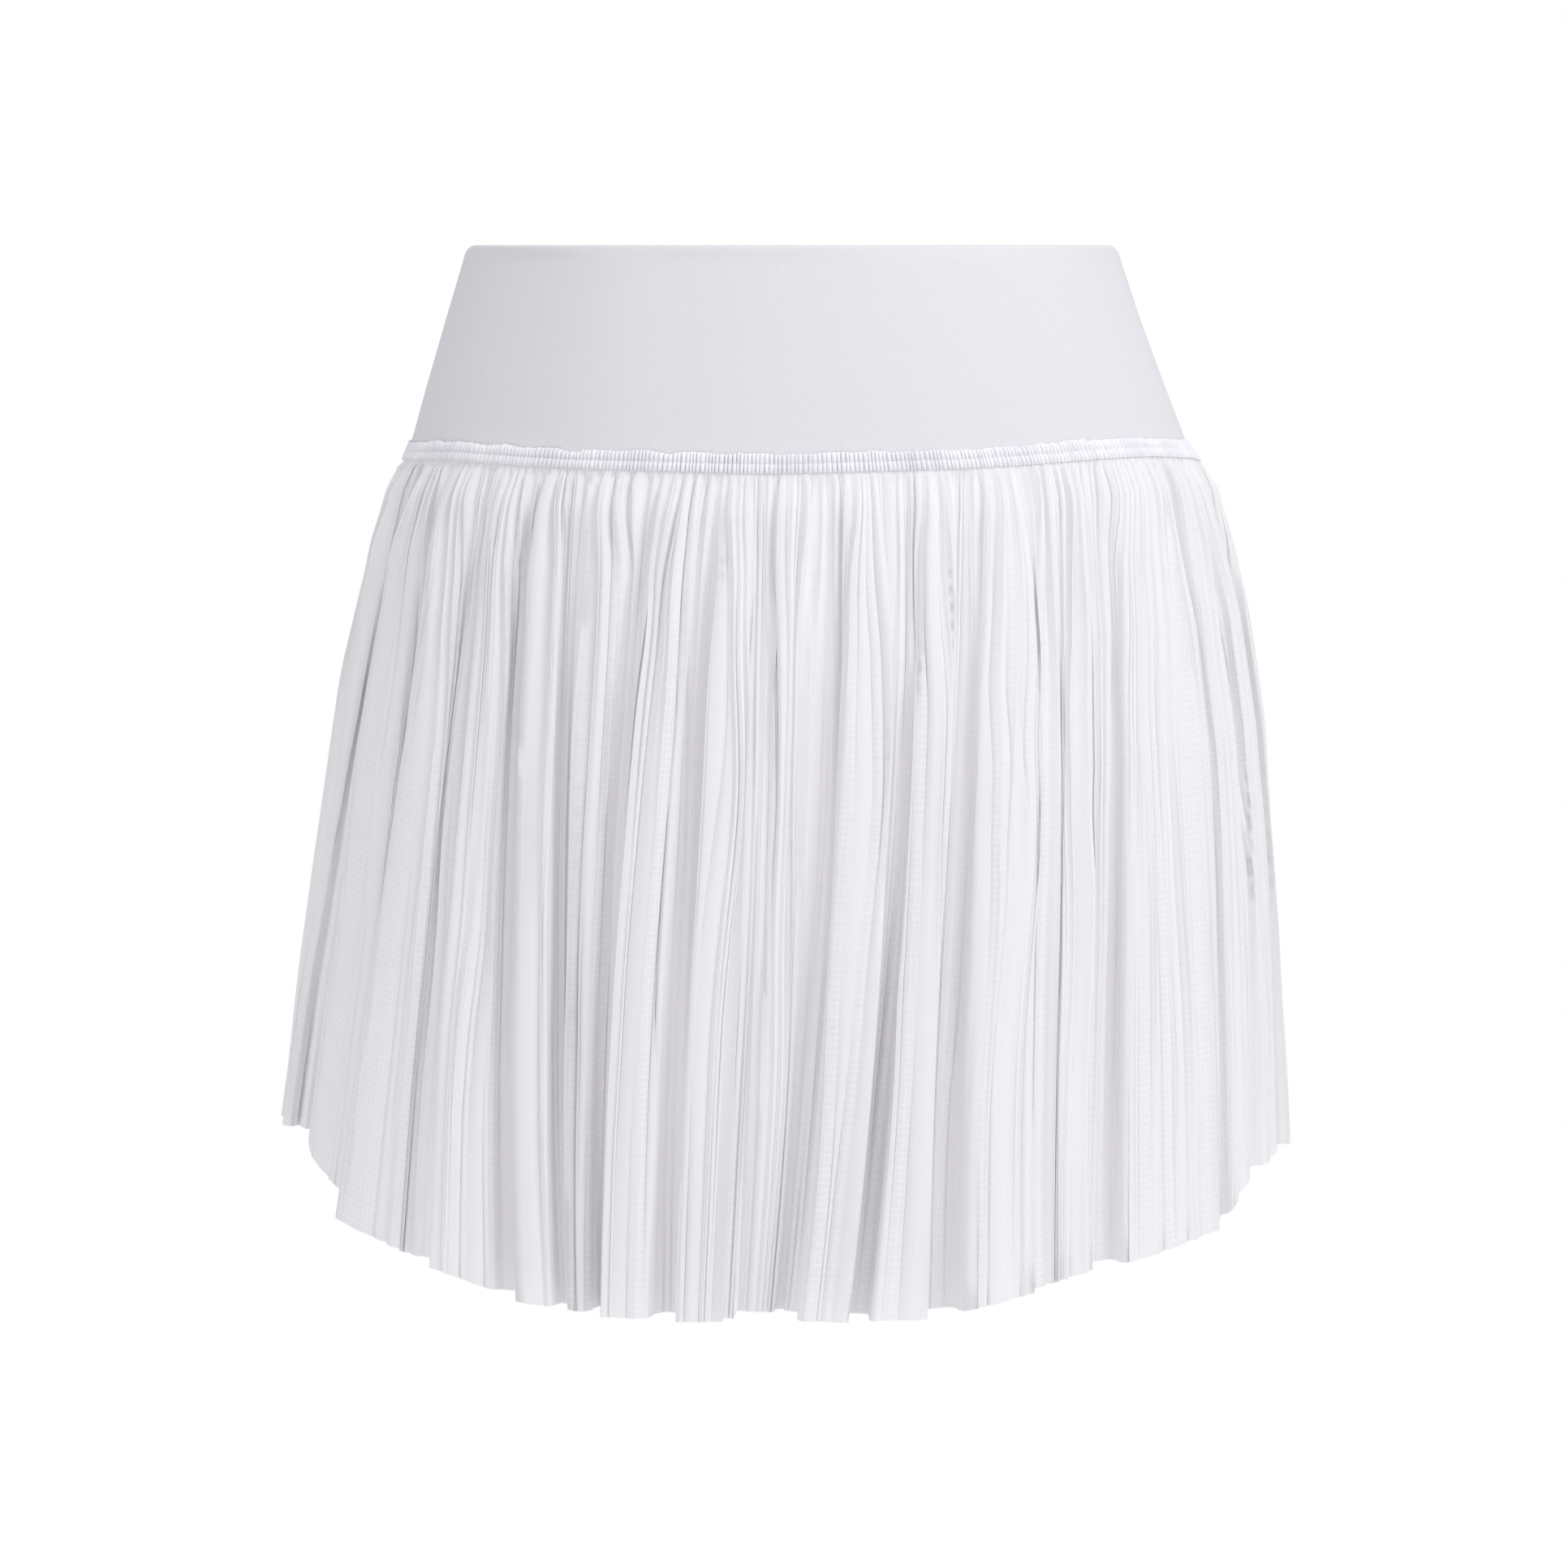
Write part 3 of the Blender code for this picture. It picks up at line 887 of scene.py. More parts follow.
@dataclass(frozen=True)
class FacetRule:
    """Sizes of the flat facets and their creases, in metres or as shares.

    Pairs are the least and the most that a draw may give. Some facets close up on the way
    down, some open out, and the rest drift.
    """

    unevenness: float = 0.62
    widths: tuple[float, float] = (0.38, 3.4)
    closing_below: float = 0.20
    closed: tuple[float, float] = (0.16, 0.45)
    opening_above: float = 0.78
    opened: tuple[float, float] = (2.2, 4.5)
    opening_width: float = 0.4
    drift: tuple[float, float] = (0.75, 1.35)
    change_from: tuple[float, float] = (0.02, 0.60)
    change_lengths: tuple[float, float] = (0.12, 0.40)
    evenness_at_top: float = 0.40
    uneven_from: float = 0.14
    height_at_top: float = 0.00022
    height: float = 0.00122
    full_from: float = 0.16
    heights: tuple[float, float] = (0.20, 1.30)
    steepest: float = 0.42
    crown: float = 0.03
    right_growth: float = 0.45
    right_from: float = 0.4
    waves: tuple[float, float] = (0.5, 2.2)
    shown: float = 0.62
    wave: float = 0.55
    shown_limits: tuple[float, float] = (0.06, 1.1)
    crease_width: float = 0.0010
    widest_lip: float = 0.28
    valley_line: float = 0.00070
    ridge_line: float = 0.00042


@dataclass(frozen=True)
class WeaveRule:
    """Where the open weave shows: in some facets more than in others, and most at the hem."""

    open_facets: float = 0.42
    in_open: tuple[float, float] = (0.75, 1.0)
    in_closed: float = 0.16
    clear_width: float = 0.0035
    in_narrowest: float = 0.25
    at_top: float = 0.30
    full_from: float = 0.55
    in_creases: float = 0.35


@dataclass
class PleatPlan:
    """Where the creases of the whole skirt run, and how they shape the cloth.

    A fold carries its gathers side by side, and each gather is set in a few flat facets.
    A facet has four columns: the crease that starts it, the lip after that crease, the
    facet's middle, and the lip before the next crease. Arrays have a row for each level.
    """

    levels: np.ndarray
    gather: GatherRule = GatherRule()
    facet: FacetRule = FacetRule()
    weave: WeaveRule = WeaveRule()
    usual_radius: float = 0.152
    depth_at_top: float = 0.0026
    cloth_in_depth: float = 1.7
    fold: np.ndarray = field(init=False)
    share: np.ndarray = field(init=False)
    raised: np.ndarray = field(init=False)
    sideways: np.ndarray = field(init=False)
    weave_shown: np.ndarray = field(init=False)
    # The lighter line of each ridge crease, partly painted highlight.
    pressed: np.ndarray = field(init=False)

    def __post_init__(self) -> None:
        """Draw the facets and creases and work out every column."""
        source = np.random.default_rng(SEED)
        fold_of_facet = np.repeat(np.arange(len(ALL_FOLDS)),
                                  [fold.pleats * FACETS for fold in ALL_FOLDS])
        widths = self.facet_widths(source, len(fold_of_facet))
        widths = widths * self.gather_widths(source, len(fold_of_facet) // FACETS)
        starts = np.empty_like(widths)
        spans = np.empty_like(widths)
        for number in range(len(ALL_FOLDS)):
            own = fold_of_facet == number
            spans[:, own] = widths[:, own] / widths[:, own].sum(axis=1, keepdims=True)
            starts[:, own] = np.cumsum(spans[:, own], axis=1) - spans[:, own]
        cloth = self.fold_lengths()[:, fold_of_facet]
        lips = np.minimum(self.facet.crease_width / 2 / cloth, self.facet.widest_lip * spans)
        self.share = self.by_column(starts, starts + lips, starts + spans / 2,
                                    starts + spans - lips)
        self.fold = np.repeat(fold_of_facet, COLUMNS)
        gathers, self.sideways = self.gather_relief(source, starts, spans, cloth)
        facets, pressed = self.facet_relief(source, spans, cloth, lips)
        self.raised = gathers + facets
        # The lighter line of painted highlight goes only on each facet's crease column.
        flat = np.zeros_like(pressed)
        self.pressed = self.by_column(pressed, flat, flat, flat)
        shown = self.weave_in_facets(source, spans * cloth)
        self.weave_shown = self.by_column(shown * self.weave.in_creases, shown, shown, shown)

    @property
    def level(self) -> np.ndarray:
        """Each row's level from 0 at the top to 1 at the hem, with one column."""
        return np.clip(self.levels, 0.0, 1.0)[:, None]

    def by_column(self, *values: np.ndarray) -> np.ndarray:
        """The values of the four columns of each facet, side by side in each row."""
        return np.stack(values, axis=2).reshape(len(self.levels), -1)

    @staticmethod
    def for_gather(values: np.ndarray) -> np.ndarray:
        """One value for each gather, given to all of its columns."""
        return np.repeat(np.atleast_2d(values), FACETS * COLUMNS, axis=1)

    def facet_widths(self, source: np.random.Generator, count: int) -> np.ndarray:
        """Widths of the facets at every level, some opening or closing on the way down.

        Args:
            source: Where the random numbers come from.
            count: How many facets the whole skirt has.

        Returns:
            Widths without a unit, to be shared out within each fold.
        """
        rule = self.facet
        width = np.clip(source.lognormal(0.0, rule.unevenness, count), *rule.widths)
        kind = source.random(count)
        later = source.uniform(*rule.drift, count)
        later = np.where(kind < rule.closing_below, source.uniform(*rule.closed, count), later)
        later = np.where(kind > rule.opening_above, source.uniform(*rule.opened, count), later)
        width = np.where(kind > rule.opening_above, width * rule.opening_width, width)
        begin = source.uniform(*rule.change_from, count)
        length = source.uniform(*rule.change_lengths, count)
        change = between(1.0, later, ease((self.level - begin) / length))
        evenness = between(rule.evenness_at_top, 1.0, ease(self.level / rule.uneven_from))
        return (width * change) ** evenness

    def gather_widths(self, source: np.random.Generator, count: int) -> np.ndarray:
        """How much wider or narrower whole gathers grow below the heading.

        Args:
            source: Where the random numbers come from.
            count: How many gathers the whole skirt has.

        Returns:
            A factor for each facet at every level.
        """
        rule = self.gather
        kind = source.random(count)
        later = np.where(kind < rule.closing_below, source.uniform(*rule.closed, count), 1.0)
        later = np.where(kind > rule.opening_above, source.uniform(*rule.opened, count), later)
        length = source.uniform(*rule.change_lengths, count)
        change = between(1.0, later, ease((self.level - rule.change_from) / length))
        return np.repeat(change, FACETS, axis=1)

    def fold_lengths(self) -> np.ndarray:
        """About how much cloth each fold takes at every level.

        Returns:
            Lengths in metres.
        """
        folds = np.array([fold[:6] for fold in ALL_FOLDS])
        following = np.concatenate([folds[1:, :3], folds[:1, :3] + 360.0])
        spread = np.radians(following - folds[:, :3])
        angle = between(spread[:, 0], spread[:, 2], self.level)
        depth = between(self.depth_at_top, folds[:, 5], self.level)
        return angle * self.usual_radius + self.cloth_in_depth * depth

    def gather_relief(self, source: np.random.Generator, starts: np.ndarray, spans: np.ndarray,
                      cloth: np.ndarray) -> tuple[np.ndarray, np.ndarray]:
        """Shape the gathers: leaves with crisp edges and a floor between them.

        Args:
            source: Where the random numbers come from.
            starts: Where in its fold each facet starts, from 0 to 1.
            spans: How much of its fold each facet takes.
            cloth: How much cloth each facet's fold takes, in metres.

        Returns:
            How far each column stands out, and how far it is moved along the cloth.
        """
        rule = self.gather
        count = spans.shape[1] // FACETS
        whole = spans.reshape(len(spans), count, FACETS).sum(axis=2)
        phase = (self.share - self.for_gather(starts[:, ::FACETS])) / self.for_gather(whole)
        phase = np.clip(phase, 0.0, 1.0)
        turned = np.repeat([fold.middle < rule.turned_before for fold in ALL_FOLDS],
                           [fold.pleats for fold in ALL_FOLDS])
        narrowest = np.where(turned, rule.flanks[0], rule.narrowest_flank)
        floor = self.for_gather(source.uniform(*rule.floors, count))
        rise = self.for_gather(np.maximum(source.uniform(*rule.flanks, count), narrowest))
        fall = self.for_gather(np.maximum(source.uniform(*rule.flanks, count), narrowest))
        leaf = ease((phase - floor) / rise) * ease((1.0 - phase) / fall)
        tilt = source.uniform(*rule.tilts, count) - rule.turned_tilt * turned
        leaf = leaf * (1.0 + self.for_gather(tilt) * (phase - 0.5))
        reach = source.uniform(*rule.reaches, count)
        fading = np.exp(-np.clip(self.level - rule.full_until, 0.0, None) / reach)
        height = rule.steepness * whole * cloth[:, ::FACETS]
        height = np.clip(height, rule.height_at_top, rule.height)
        height = height * source.uniform(*rule.heights, count) * fading
        height = height * np.where(turned, 1.0, rule.calmer)
        height = self.for_gather(height + rule.height_at_hem)
        lean = source.uniform(-rule.lean, rule.lean, count)
        lean = self.for_gather(np.where(turned, -np.abs(lean), lean))
        return (leaf - rule.sunk) * height, lean * leaf * height

    def facet_relief(self, source: np.random.Generator, spans: np.ndarray, cloth: np.ndarray,
                     lips: np.ndarray) -> tuple[np.ndarray, np.ndarray]:
        """Shape the facets: each crease is a valley or a ridge of its own height.

        Args:
            source: Where the random numbers come from.
            spans: How much of its fold each facet takes.
            cloth: How much cloth each facet's fold takes, in metres.
            lips: How much of its fold the lip of each crease takes.

        Returns:
            How far each column stands out, and how much lighter each ridge crease is drawn,
            partly for the denser folded cloth and partly as painted highlight.
        """
        rule = self.facet
        count = spans.shape[1]
        first = source.random(count // FACETS) < 0.5
        signs = np.ones((count // FACETS, FACETS))
        signs[:, 0] = -1.0
        signs[:, 1] = np.where(first, 1.0, -1.0)
        signs[:, 2] = -signs[:, 1]
        signs = signs.ravel()
        waves = source.uniform(*rule.waves, count)
        turn = source.uniform(0.0, 2 * np.pi, count)
        shown = rule.shown + rule.wave * np.sin(2 * np.pi * waves * self.level + turn)
        shown = np.clip(shown, *rule.shown_limits)
        height = between(rule.height_at_top, rule.height, ease(self.level / rule.full_from))
        height = height * source.uniform(*rule.heights, count) * shown
        middles = np.array([fold.middle for fold in ALL_FOLDS])[self.fold[::COLUMNS]]
        to_the_right = ease(np.sin(np.radians(middles)) / rule.right_from)
        height = height * (1.0 + rule.right_growth * to_the_right * self.level)
        width = spans * cloth
        narrow = np.minimum(width, np.roll(width, 1, axis=1))
        crease = signs * np.minimum(height, rule.steepest * narrow)
        line = np.where(signs > 0, rule.ridge_line, -rule.valley_line)
        line = line * shown * np.minimum(1.0, narrow / rule.crease_width)
        following = np.roll(crease, -1, axis=1)
        share = lips / spans
        after = crease * (1.0 - share) + following * share
        middle = (crease + following) / 2 + rule.crown * width
        before = following * (1.0 - share) + crease * share
        relief = self.by_column(crease + line, after, middle, before)
        # Only ridge creases carry the lighter line, which is partly painted highlight.
        return relief, np.where(signs > 0, shown, 0.0)

    def weave_in_facets(self, source: np.random.Generator, width: np.ndarray) -> np.ndarray:
        """Choose how much of the open weave shows in each facet.

        Args:
            source: Where the random numbers come from.
            width: The facets' widths in metres.

        Returns:
            A share for each facet at every level.
        """
        rule = self.weave
        count = width.shape[1]
        open_facet = source.random(count) < rule.open_facets
        shown = np.where(open_facet, source.uniform(*rule.in_open, count), rule.in_closed)
        shown = shown * np.clip(width / rule.clear_width, rule.in_narrowest, 1.0)
        return shown * between(rule.at_top, 1.0, ease(self.levels / rule.full_from))[:, None]

    def columns_of(self, side: Side) -> np.ndarray:
        """The columns of one panel.

        Args:
            side: Which panel.

        Returns:
            Their numbers, from the panel's first to the next panel's first.
        """
        seam = int(np.searchsorted(self.fold, len(FRONT_FOLDS)))
        if side is Side.FRONT:
            return np.arange(0, seam + 1)
        return np.arange(seam, len(self.fold) + 1) % len(self.fold)


@dataclass
class Skirt:
    """The gathered and pleated mesh skirt, whose top edge is tucked under the heading.

    Sizes are in metres and the rest are shares. floor is how much of a fold lies flat at
    each of its ends, flank is how much of its rise and fall the flanks take, and
    flank_hold is how much less the flanks go round the garment, which makes them steep.
    The ways along the cloth are measured between columns that lie a reach away.
    """

    finish: bpy.types.Material
    top: float = HEADING_SECTIONS[-1].place + SEAM_GAP
    wall: float = 0.00045
    rows: int = 38
    row_crowding: float = 1.5
    first_row: float = 0.02
    tucked: tuple[float, ...] = (-0.0036, -0.0011)
    tuck: float = 0.0009
    shoulder_from: float = -0.0006
    shoulder: float = 0.045
    fold_depth_at_top: float = 0.0024
    fold_middle: float = 0.42
    fold_growth: float = 0.60
    filled_at_top: float = 0.5
    filled_from: float = 0.5
    face_tilt: float = 0.75
    tilt_growth: float = 1.3
    tilt_from: float = 0.2
    floor: float = 0.09
    flank: float = 0.62
    flank_hold: float = 0.74
    steep_from: float = 0.30
    flank_smoothing: float = 0.65
    gathers_in_tuck: float = 0.04
    gathers_open: float = 0.014
    way_reach: int = 3
    wall_reach: int = 2
    sharp_from: float = 85.0
    plan: PleatPlan = field(init=False)
    levels: np.ndarray = field(init=False)

    def __post_init__(self) -> None:
        """Set the rows, closest below the heading, and plan the creases on them."""
        below = np.linspace(self.first_row, 1.0, self.rows) ** self.row_crowding
        self.levels = np.concatenate([self.tucked, below])
        self.plan = PleatPlan(self.levels)

    @property
    def level(self) -> np.ndarray:
        """Each row's level from 0 at the top to 1 at the hem."""
        return np.clip(self.levels, 0.0, 1.0)

    def valley_angles(self) -> np.ndarray:
        """Every fold's starting valley, in radians, on a parabola through its three.

        Returns:
            A row for each level, which ends with the first valley a full turn on.
        """
        folds = np.array([fold[:3] for fold in ALL_FOLDS])
        level, middle = self.level, self.fold_middle
        at_top = (level - middle) * (level - 1.0) / middle
        at_middle = level * (level - 1.0) / (middle * (middle - 1.0))
        at_hem = level * (level - middle) / (1.0 - middle)
        weights = np.stack([at_top, at_middle, at_hem], axis=-1)
        angles = weights @ folds.T
        closing = angles[:, :1] + 360.0
        return np.radians(np.concatenate([angles, closing], axis=1))

    def of_fold(self, name: str, following: int = 0) -> np.ndarray:
        """One of the sizes of each column's own fold, or of a following one."""
        values = np.array([getattr(fold, name) for fold in ALL_FOLDS])
        return values[(self.plan.fold + following) % len(ALL_FOLDS)]

    def across_fold(self, name: str) -> np.ndarray:
        """A size that changes smoothly from each fold's first valley to the next one's."""
        return between(self.of_fold(name), self.of_fold(name, 1), ease(self.plan.share))

    def crest_heights(self) -> np.ndarray:
        """How far each column's fold stands out at its crest.

        Returns:
            Distances, with a row for each level.
        """
        middle = self.fold_middle
        at_middle = self.of_fold("depth_middle")
        upper = (np.clip(self.level / middle, 0, 1) ** self.fold_growth)[:, None]
        lower = np.clip((self.level - middle) / (1.0 - middle), 0, 1)[:, None]
        crest = between(self.fold_depth_at_top, at_middle, upper)
        return crest + (self.of_fold("depth_hem") - at_middle) * lower

    def up_flanks(self) -> tuple[np.ndarray, np.ndarray]:
        """How far up the two flanks of its fold each column lies.

        Returns:
            Shares from 0 to 1 for the first flank and for the second.
        """
        share = self.plan.share
        first = (share - self.floor) / (self.flank * self.of_fold("rise"))
        second = (1.0 - share - self.floor) / (self.flank * self.of_fold("fall"))
        return np.clip(first, 0.0, 1.0), np.clip(second, 0.0, 1.0)

    def way_across(self) -> np.ndarray:
        """How far through its fold each column lies, held back on the two flanks.

        Returns:
            Shares from 0 to 1, with a row for each level.
        """
        first, second = self.up_flanks()
        rise = self.flank * self.of_fold("rise")
        fall = self.flank * self.of_fold("fall")
        lost_first = rise * (first - np.sin(2 * np.pi * first) / (2 * np.pi))
        lost_second = fall * (1.0 - second + np.sin(2 * np.pi * second) / (2 * np.pi))
        hold = (self.flank_hold * ease(self.level / self.steep_from))[:, None]
        held = self.plan.share - hold * (lost_first + lost_second)
        return held / (1.0 - hold * (rise + fall))

    def out_of_tuck(self) -> np.ndarray:
        """0 where the cloth is tucked under the heading and 1 below its shoulder."""
        share = np.clip((self.levels - self.shoulder_from) / self.shoulder, 0.0, 1.0)
        return np.sin(np.pi / 2 * share)[:, None]

    def fold_relief(self) -> tuple[np.ndarray, np.ndarray]:
        """How far up its fold's depth each column lies, 0 to 1.

        Returns:
            The shape of the fold alone, and that shape with its valleys filled and with
            the faces on the left side tilted.
        """
        first, second = self.up_flanks()
        plain = ease(first) * ease(second)
        fullness = between(self.filled_at_top, 1.0, ease(self.level / self.filled_from))
        filled = self.across_fold("filled") * fullness[:, None]
        to_the_left = -np.sin(np.radians(self.of_fold("middle")))
        tilt = self.face_tilt * np.clip(to_the_left * self.tilt_growth, 0.0, 1.0)
        tilted = plain * (1.0 - tilt * np.clip(self.plan.share - self.tilt_from, 0.0, None))
        return plain, filled + (1.0 - filled) * tilted

    def smooth_ring(self) -> np.ndarray:
        """The folded cloth without its gathers and facets.

        Returns:
            A row of points for each level, round the whole skirt.
        """
        number = self.plan.fold
        plain, relief = self.fold_relief()
        valleys = self.valley_angles()
        way = self.way_across()
        angle = valleys[:, number] * (1.0 - way) + valleys[:, number + 1] * way
        angle = angle + np.radians(self.of_fold("lean")) * plain * self.level[:, None]
        out = self.out_of_tuck()
        under = sizes_at(HEADING_SECTIONS, HEADING_SECTIONS[-1].place) - self.tuck
        sizes = between(under, sizes_at(VALLEY_SECTIONS, self.level), out)
        point, outward = on_outline(sizes[:, None, :], angle)
        point = point + outward * (self.crest_heights() * relief * out)[..., None]
        down = self.levels[:, None]
        point[..., 2] = -between(self.top, self.across_fold("drop"), down)
        point[..., 2] += heading_rise(angle) * (1.0 - down)
        return point

    @staticmethod
    def ways_along(ring: np.ndarray, reach: int) -> np.ndarray:
        """The level way along the cloth at each point, between points a reach away."""
        return level_units(np.roll(ring, -reach, axis=1) - np.roll(ring, reach, axis=1))

    def rings(self) -> tuple[np.ndarray, np.ndarray, np.ndarray]:
        """The whole skirt, as rows of points round it.

        Returns:
            The outside, the inside, and the level way along the cloth at each point.
        """
        smooth = self.smooth_ring()
        way = self.ways_along(smooth, self.way_reach)
        first, second = (ease(share) for share in self.up_flanks())
        on_flank = 4.0 * first * (1.0 - first) + 4.0 * second * (1.0 - second)
        steep = ease(self.level / self.steep_from)[:, None]
        kept = 1.0 - self.flank_smoothing * on_flank * steep
        opened = ease((self.levels - self.tucked[-1]) / self.gathers_open)[:, None]
        kept = kept * between(self.gathers_in_tuck, 1.0, opened)
        outer = smooth + square_to(way) * (self.plan.raised * kept)[..., None]
        outer = outer + way * (self.plan.sideways * kept)[..., None]
        along = self.ways_along(outer, self.wall_reach)
        outward = square_to(level_units(along + way))
        return outer, outer - outward * self.wall, way

    @staticmethod
    def cloth_places(points: np.ndarray) -> np.ndarray:
        """Where each quad starts and ends on the cloth, true to size inside each facet.

        A facet's middle keeps its place at the hem all the way up, so the weave runs
        straight up the cloth and keeps its size where a facet is narrower.

        Args:
            points: The outside of one panel.

        Returns:
            Two places for each quad of each row.
        """
        steps = np.linalg.norm(np.diff(points, axis=1), axis=2)
        steps = steps.reshape(len(points), -1, COLUMNS)
        widths = steps.sum(axis=2)
        middles = np.cumsum(widths[-1]) - widths[-1] / 2
        ends = (middles - widths / 2)[..., None] + np.cumsum(steps, axis=2)
        return np.stack([ends - steps, ends], axis=-1).reshape(len(points), -1, 2)

    def make(self, side: Side, heading: Sequence[bpy.types.Object]) -> bpy.types.Object:
        """Build one panel of the skirt, dress it and set it in its node's place.

        Args:
            side: Which panel.
            heading: The pieces of the heading that is sewn to it. Not used.

        Returns:
            The panel.
        """
        outer, inner, way = self.rings()
        columns = self.plan.columns_of(side)
        outside = outer[:, columns].copy()
        inside = inner[:, columns].copy()
        for grid in (outside, inside):
            grid[:, 0] += way[:, columns[0]] * (SEAM_GAP / 2)
            grid[:, -1] -= way[:, columns[-1]] * (SEAM_GAP / 2)
        across = self.cloth_places(outside)
        fall = np.linalg.norm(np.diff(outside, axis=0), axis=2).mean(axis=1)
        down = np.concatenate([[0.0], np.cumsum(fall)])
        # The points carry where the weave shows and the painted highlight of the ridge creases.
        marks = {"weave_shown": self.plan.weave_shown[:, columns],
                 "pressed": self.plan.pressed[:, columns]}
        name = f"pleated_skirt_{side.word}"
        piece = wall_mesh(name, outside, inside, across, down, self.sharp_from, marks)
        piece.data.materials.append(self.finish)
        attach(piece, BODY)
        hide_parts(f"skirt_{side.word}")
        return piece


class RibPoint(NamedTuple):
    """One column of a rib: how far across the rib it lies and how far it stands out."""

    across: float
    height: float


@dataclass
class Heading:
    """The gathered strip that holds the skirt to the waistband, and its stitching.

    Sizes are in metres and the rest are shares. The ribs and the swell between the rows
    of stitches are measured from their centres, which lie on the strip's outline. The
    strip is slimmer near the side seams, and a run of ribs here and there is darker in
    tone. The troughs between the ribs are darkened with painted shade, less on the right
    side, which faces the key light.
    """

    cloth: bpy.types.Material
    thread: bpy.types.Material
    top: float = HEADING_SECTIONS[0].place
    bottom: float = HEADING_SECTIONS[-1].place
    middle: float = 0.076
    flap_from: float = 0.0786
    flap: float = 0.0005
    rows: int = 15
    arc_points: int = 2001
    rib_pitch: float = 0.00166
    rib_widths: tuple[float, float] = (0.72, 1.28)
    rib_heights: tuple[float, float] = (0.55, 1.3)
    wider_at_seams: float = 0.35
    rib_outline: tuple[RibPoint, ...] = (RibPoint(0.0, 0.0), RibPoint(0.15, 0.84),
                                         RibPoint(0.5, 1.0), RibPoint(0.85, 0.84))
    rib: float = 0.00120
    rib_centre: float = 0.65
    rib_in_dips: float = 0.25
    swell: float = 0.00060
    swell_centre: float = 0.8
    swell_fullness: float = 0.55
    second_dip: float = 0.985
    slimmer: float = 0.0009
    seam_from: float = 0.92
    seam_reach: float = 0.08
    rib_at_seams: float = 0.4
    lip: float = 0.0006
    lip_unevenness: float = 0.00012
    lip_calm: float = 0.02
    tint_run: int = 9
    tint_contrast: float = 3.4
    tint_threshold: float = 1.2
    tint_depth: float = 0.55
    # Painted shade in the troughs between ribs, and how much of it is taken away on the right
    # side, which faces the key light.
    trough_depth: float = 0.75
    trough_right: float = 0.5
    sharp_from: float = 75.0
    stitch_shares: tuple[float, ...] = (0.50, 0.97)
    stitch_length: float = 0.00125
    stitch_width: float = 0.00036
    stitch_lift: float = 0.00006
    stitch_slant: tuple[float, float] = (0.85, 0.5)

    def rib_columns(self, side: Side, source: np.random.Generator
                    ) -> tuple[np.ndarray, np.ndarray, np.ndarray]:
        """Set out the ribs of one half, each a little wider or narrower than the next.

        Args:
            side: Which half.
            source: Where the random numbers come from.

        Returns:
            For each column its angle, how far it stands out and the number of its rib.
        """
        dense = half_round(side, HEADING_SECTIONS[0], self.arc_points)
        arc = along_cloth(on_outline(sizes_at(HEADING_SECTIONS, self.middle), dense)[0])
        count = int(round(arc[-1] / self.rib_pitch))
        widths = source.uniform(*self.rib_widths, count)
        seamward = np.abs(np.linspace(-1.0, 1.0, count)) ** 3
        widths = widths * (1.0 + self.wider_at_seams * seamward)
        ends = np.concatenate([[0.0], np.cumsum(widths) / widths.sum()]) * arc[-1]
        places = np.array([point.across for point in self.rib_outline])
        columns = ends[:-1, None] + np.diff(ends)[:, None] * places
        columns = np.concatenate([columns.ravel(), [arc[-1]]])
        heights = [point.height for point in self.rib_outline]
        relief = np.concatenate([np.tile(heights, count), [0.0]])
        numbers = np.concatenate([np.repeat(np.arange(count), len(heights)), [count - 1]])
        return np.interp(columns, arc, dense), relief, numbers

    def outer_face(self, angle: np.ndarray, relief: np.ndarray, number: np.ndarray,
                   drop: np.ndarray, source: np.random.Generator
                   ) -> tuple[np.ndarray, np.ndarray]:
        """The ribbed face, which dips at both rows of stitches and is slimmer at the seams.

        Args:
            angle: Each column's angle.
            relief: How far each column stands out, from 0 to 1.
            number: The number of each column's rib.
            drop: Each row's place.
            source: Where the random numbers come from.

        Returns:
            Rows of points, and the level direction out of each.
        """
        grid = np.broadcast_to(angle, (self.rows, len(angle)))
        share = np.linspace(0.0, 1.0, self.rows)[:, None]
        point, outward = on_outline(sizes_at(HEADING_SECTIONS, drop)[:, None, :], grid)
        bulge = np.abs(np.sin(2 * np.pi * share / self.second_dip)) ** self.swell_fullness
        count = int(number.max()) + 1
        upper = source.uniform(*self.rib_heights, count)[number]
        lower = source.uniform(*self.rib_heights, count)[number]
        ribs = self.rib * (relief - self.rib_centre) * np.where(share < 0.5, upper, lower)
        ribs = ribs * between(self.rib_in_dips, 1.0, bulge)
        near_seam = ease((np.abs(np.sin(grid)) - self.seam_from) / self.seam_reach)
        ribs = ribs * (1.0 - (1.0 - self.rib_at_seams) * near_seam)
        raised = self.swell * (bulge - self.swell_centre) + ribs
        raised = raised - self.slimmer * near_seam * bulge * (1.0 - share)
        outer = point + outward * raised[..., None]
        lip = np.convolve(source.normal(0.0, 1.0, count), np.ones(5) / 5, "same")[number]
        uneven = source.uniform(-self.lip_unevenness, self.lip_unevenness, count)[number]
        lip = (self.lip * lip + uneven) * ease((1.0 - np.abs(np.sin(angle))) / self.lip_calm)
        outer[..., 2] = -drop[:, None]
        outer[..., 2] += lip * (1.0 - share) ** 3 + heading_rise(grid)
        return outer, outward

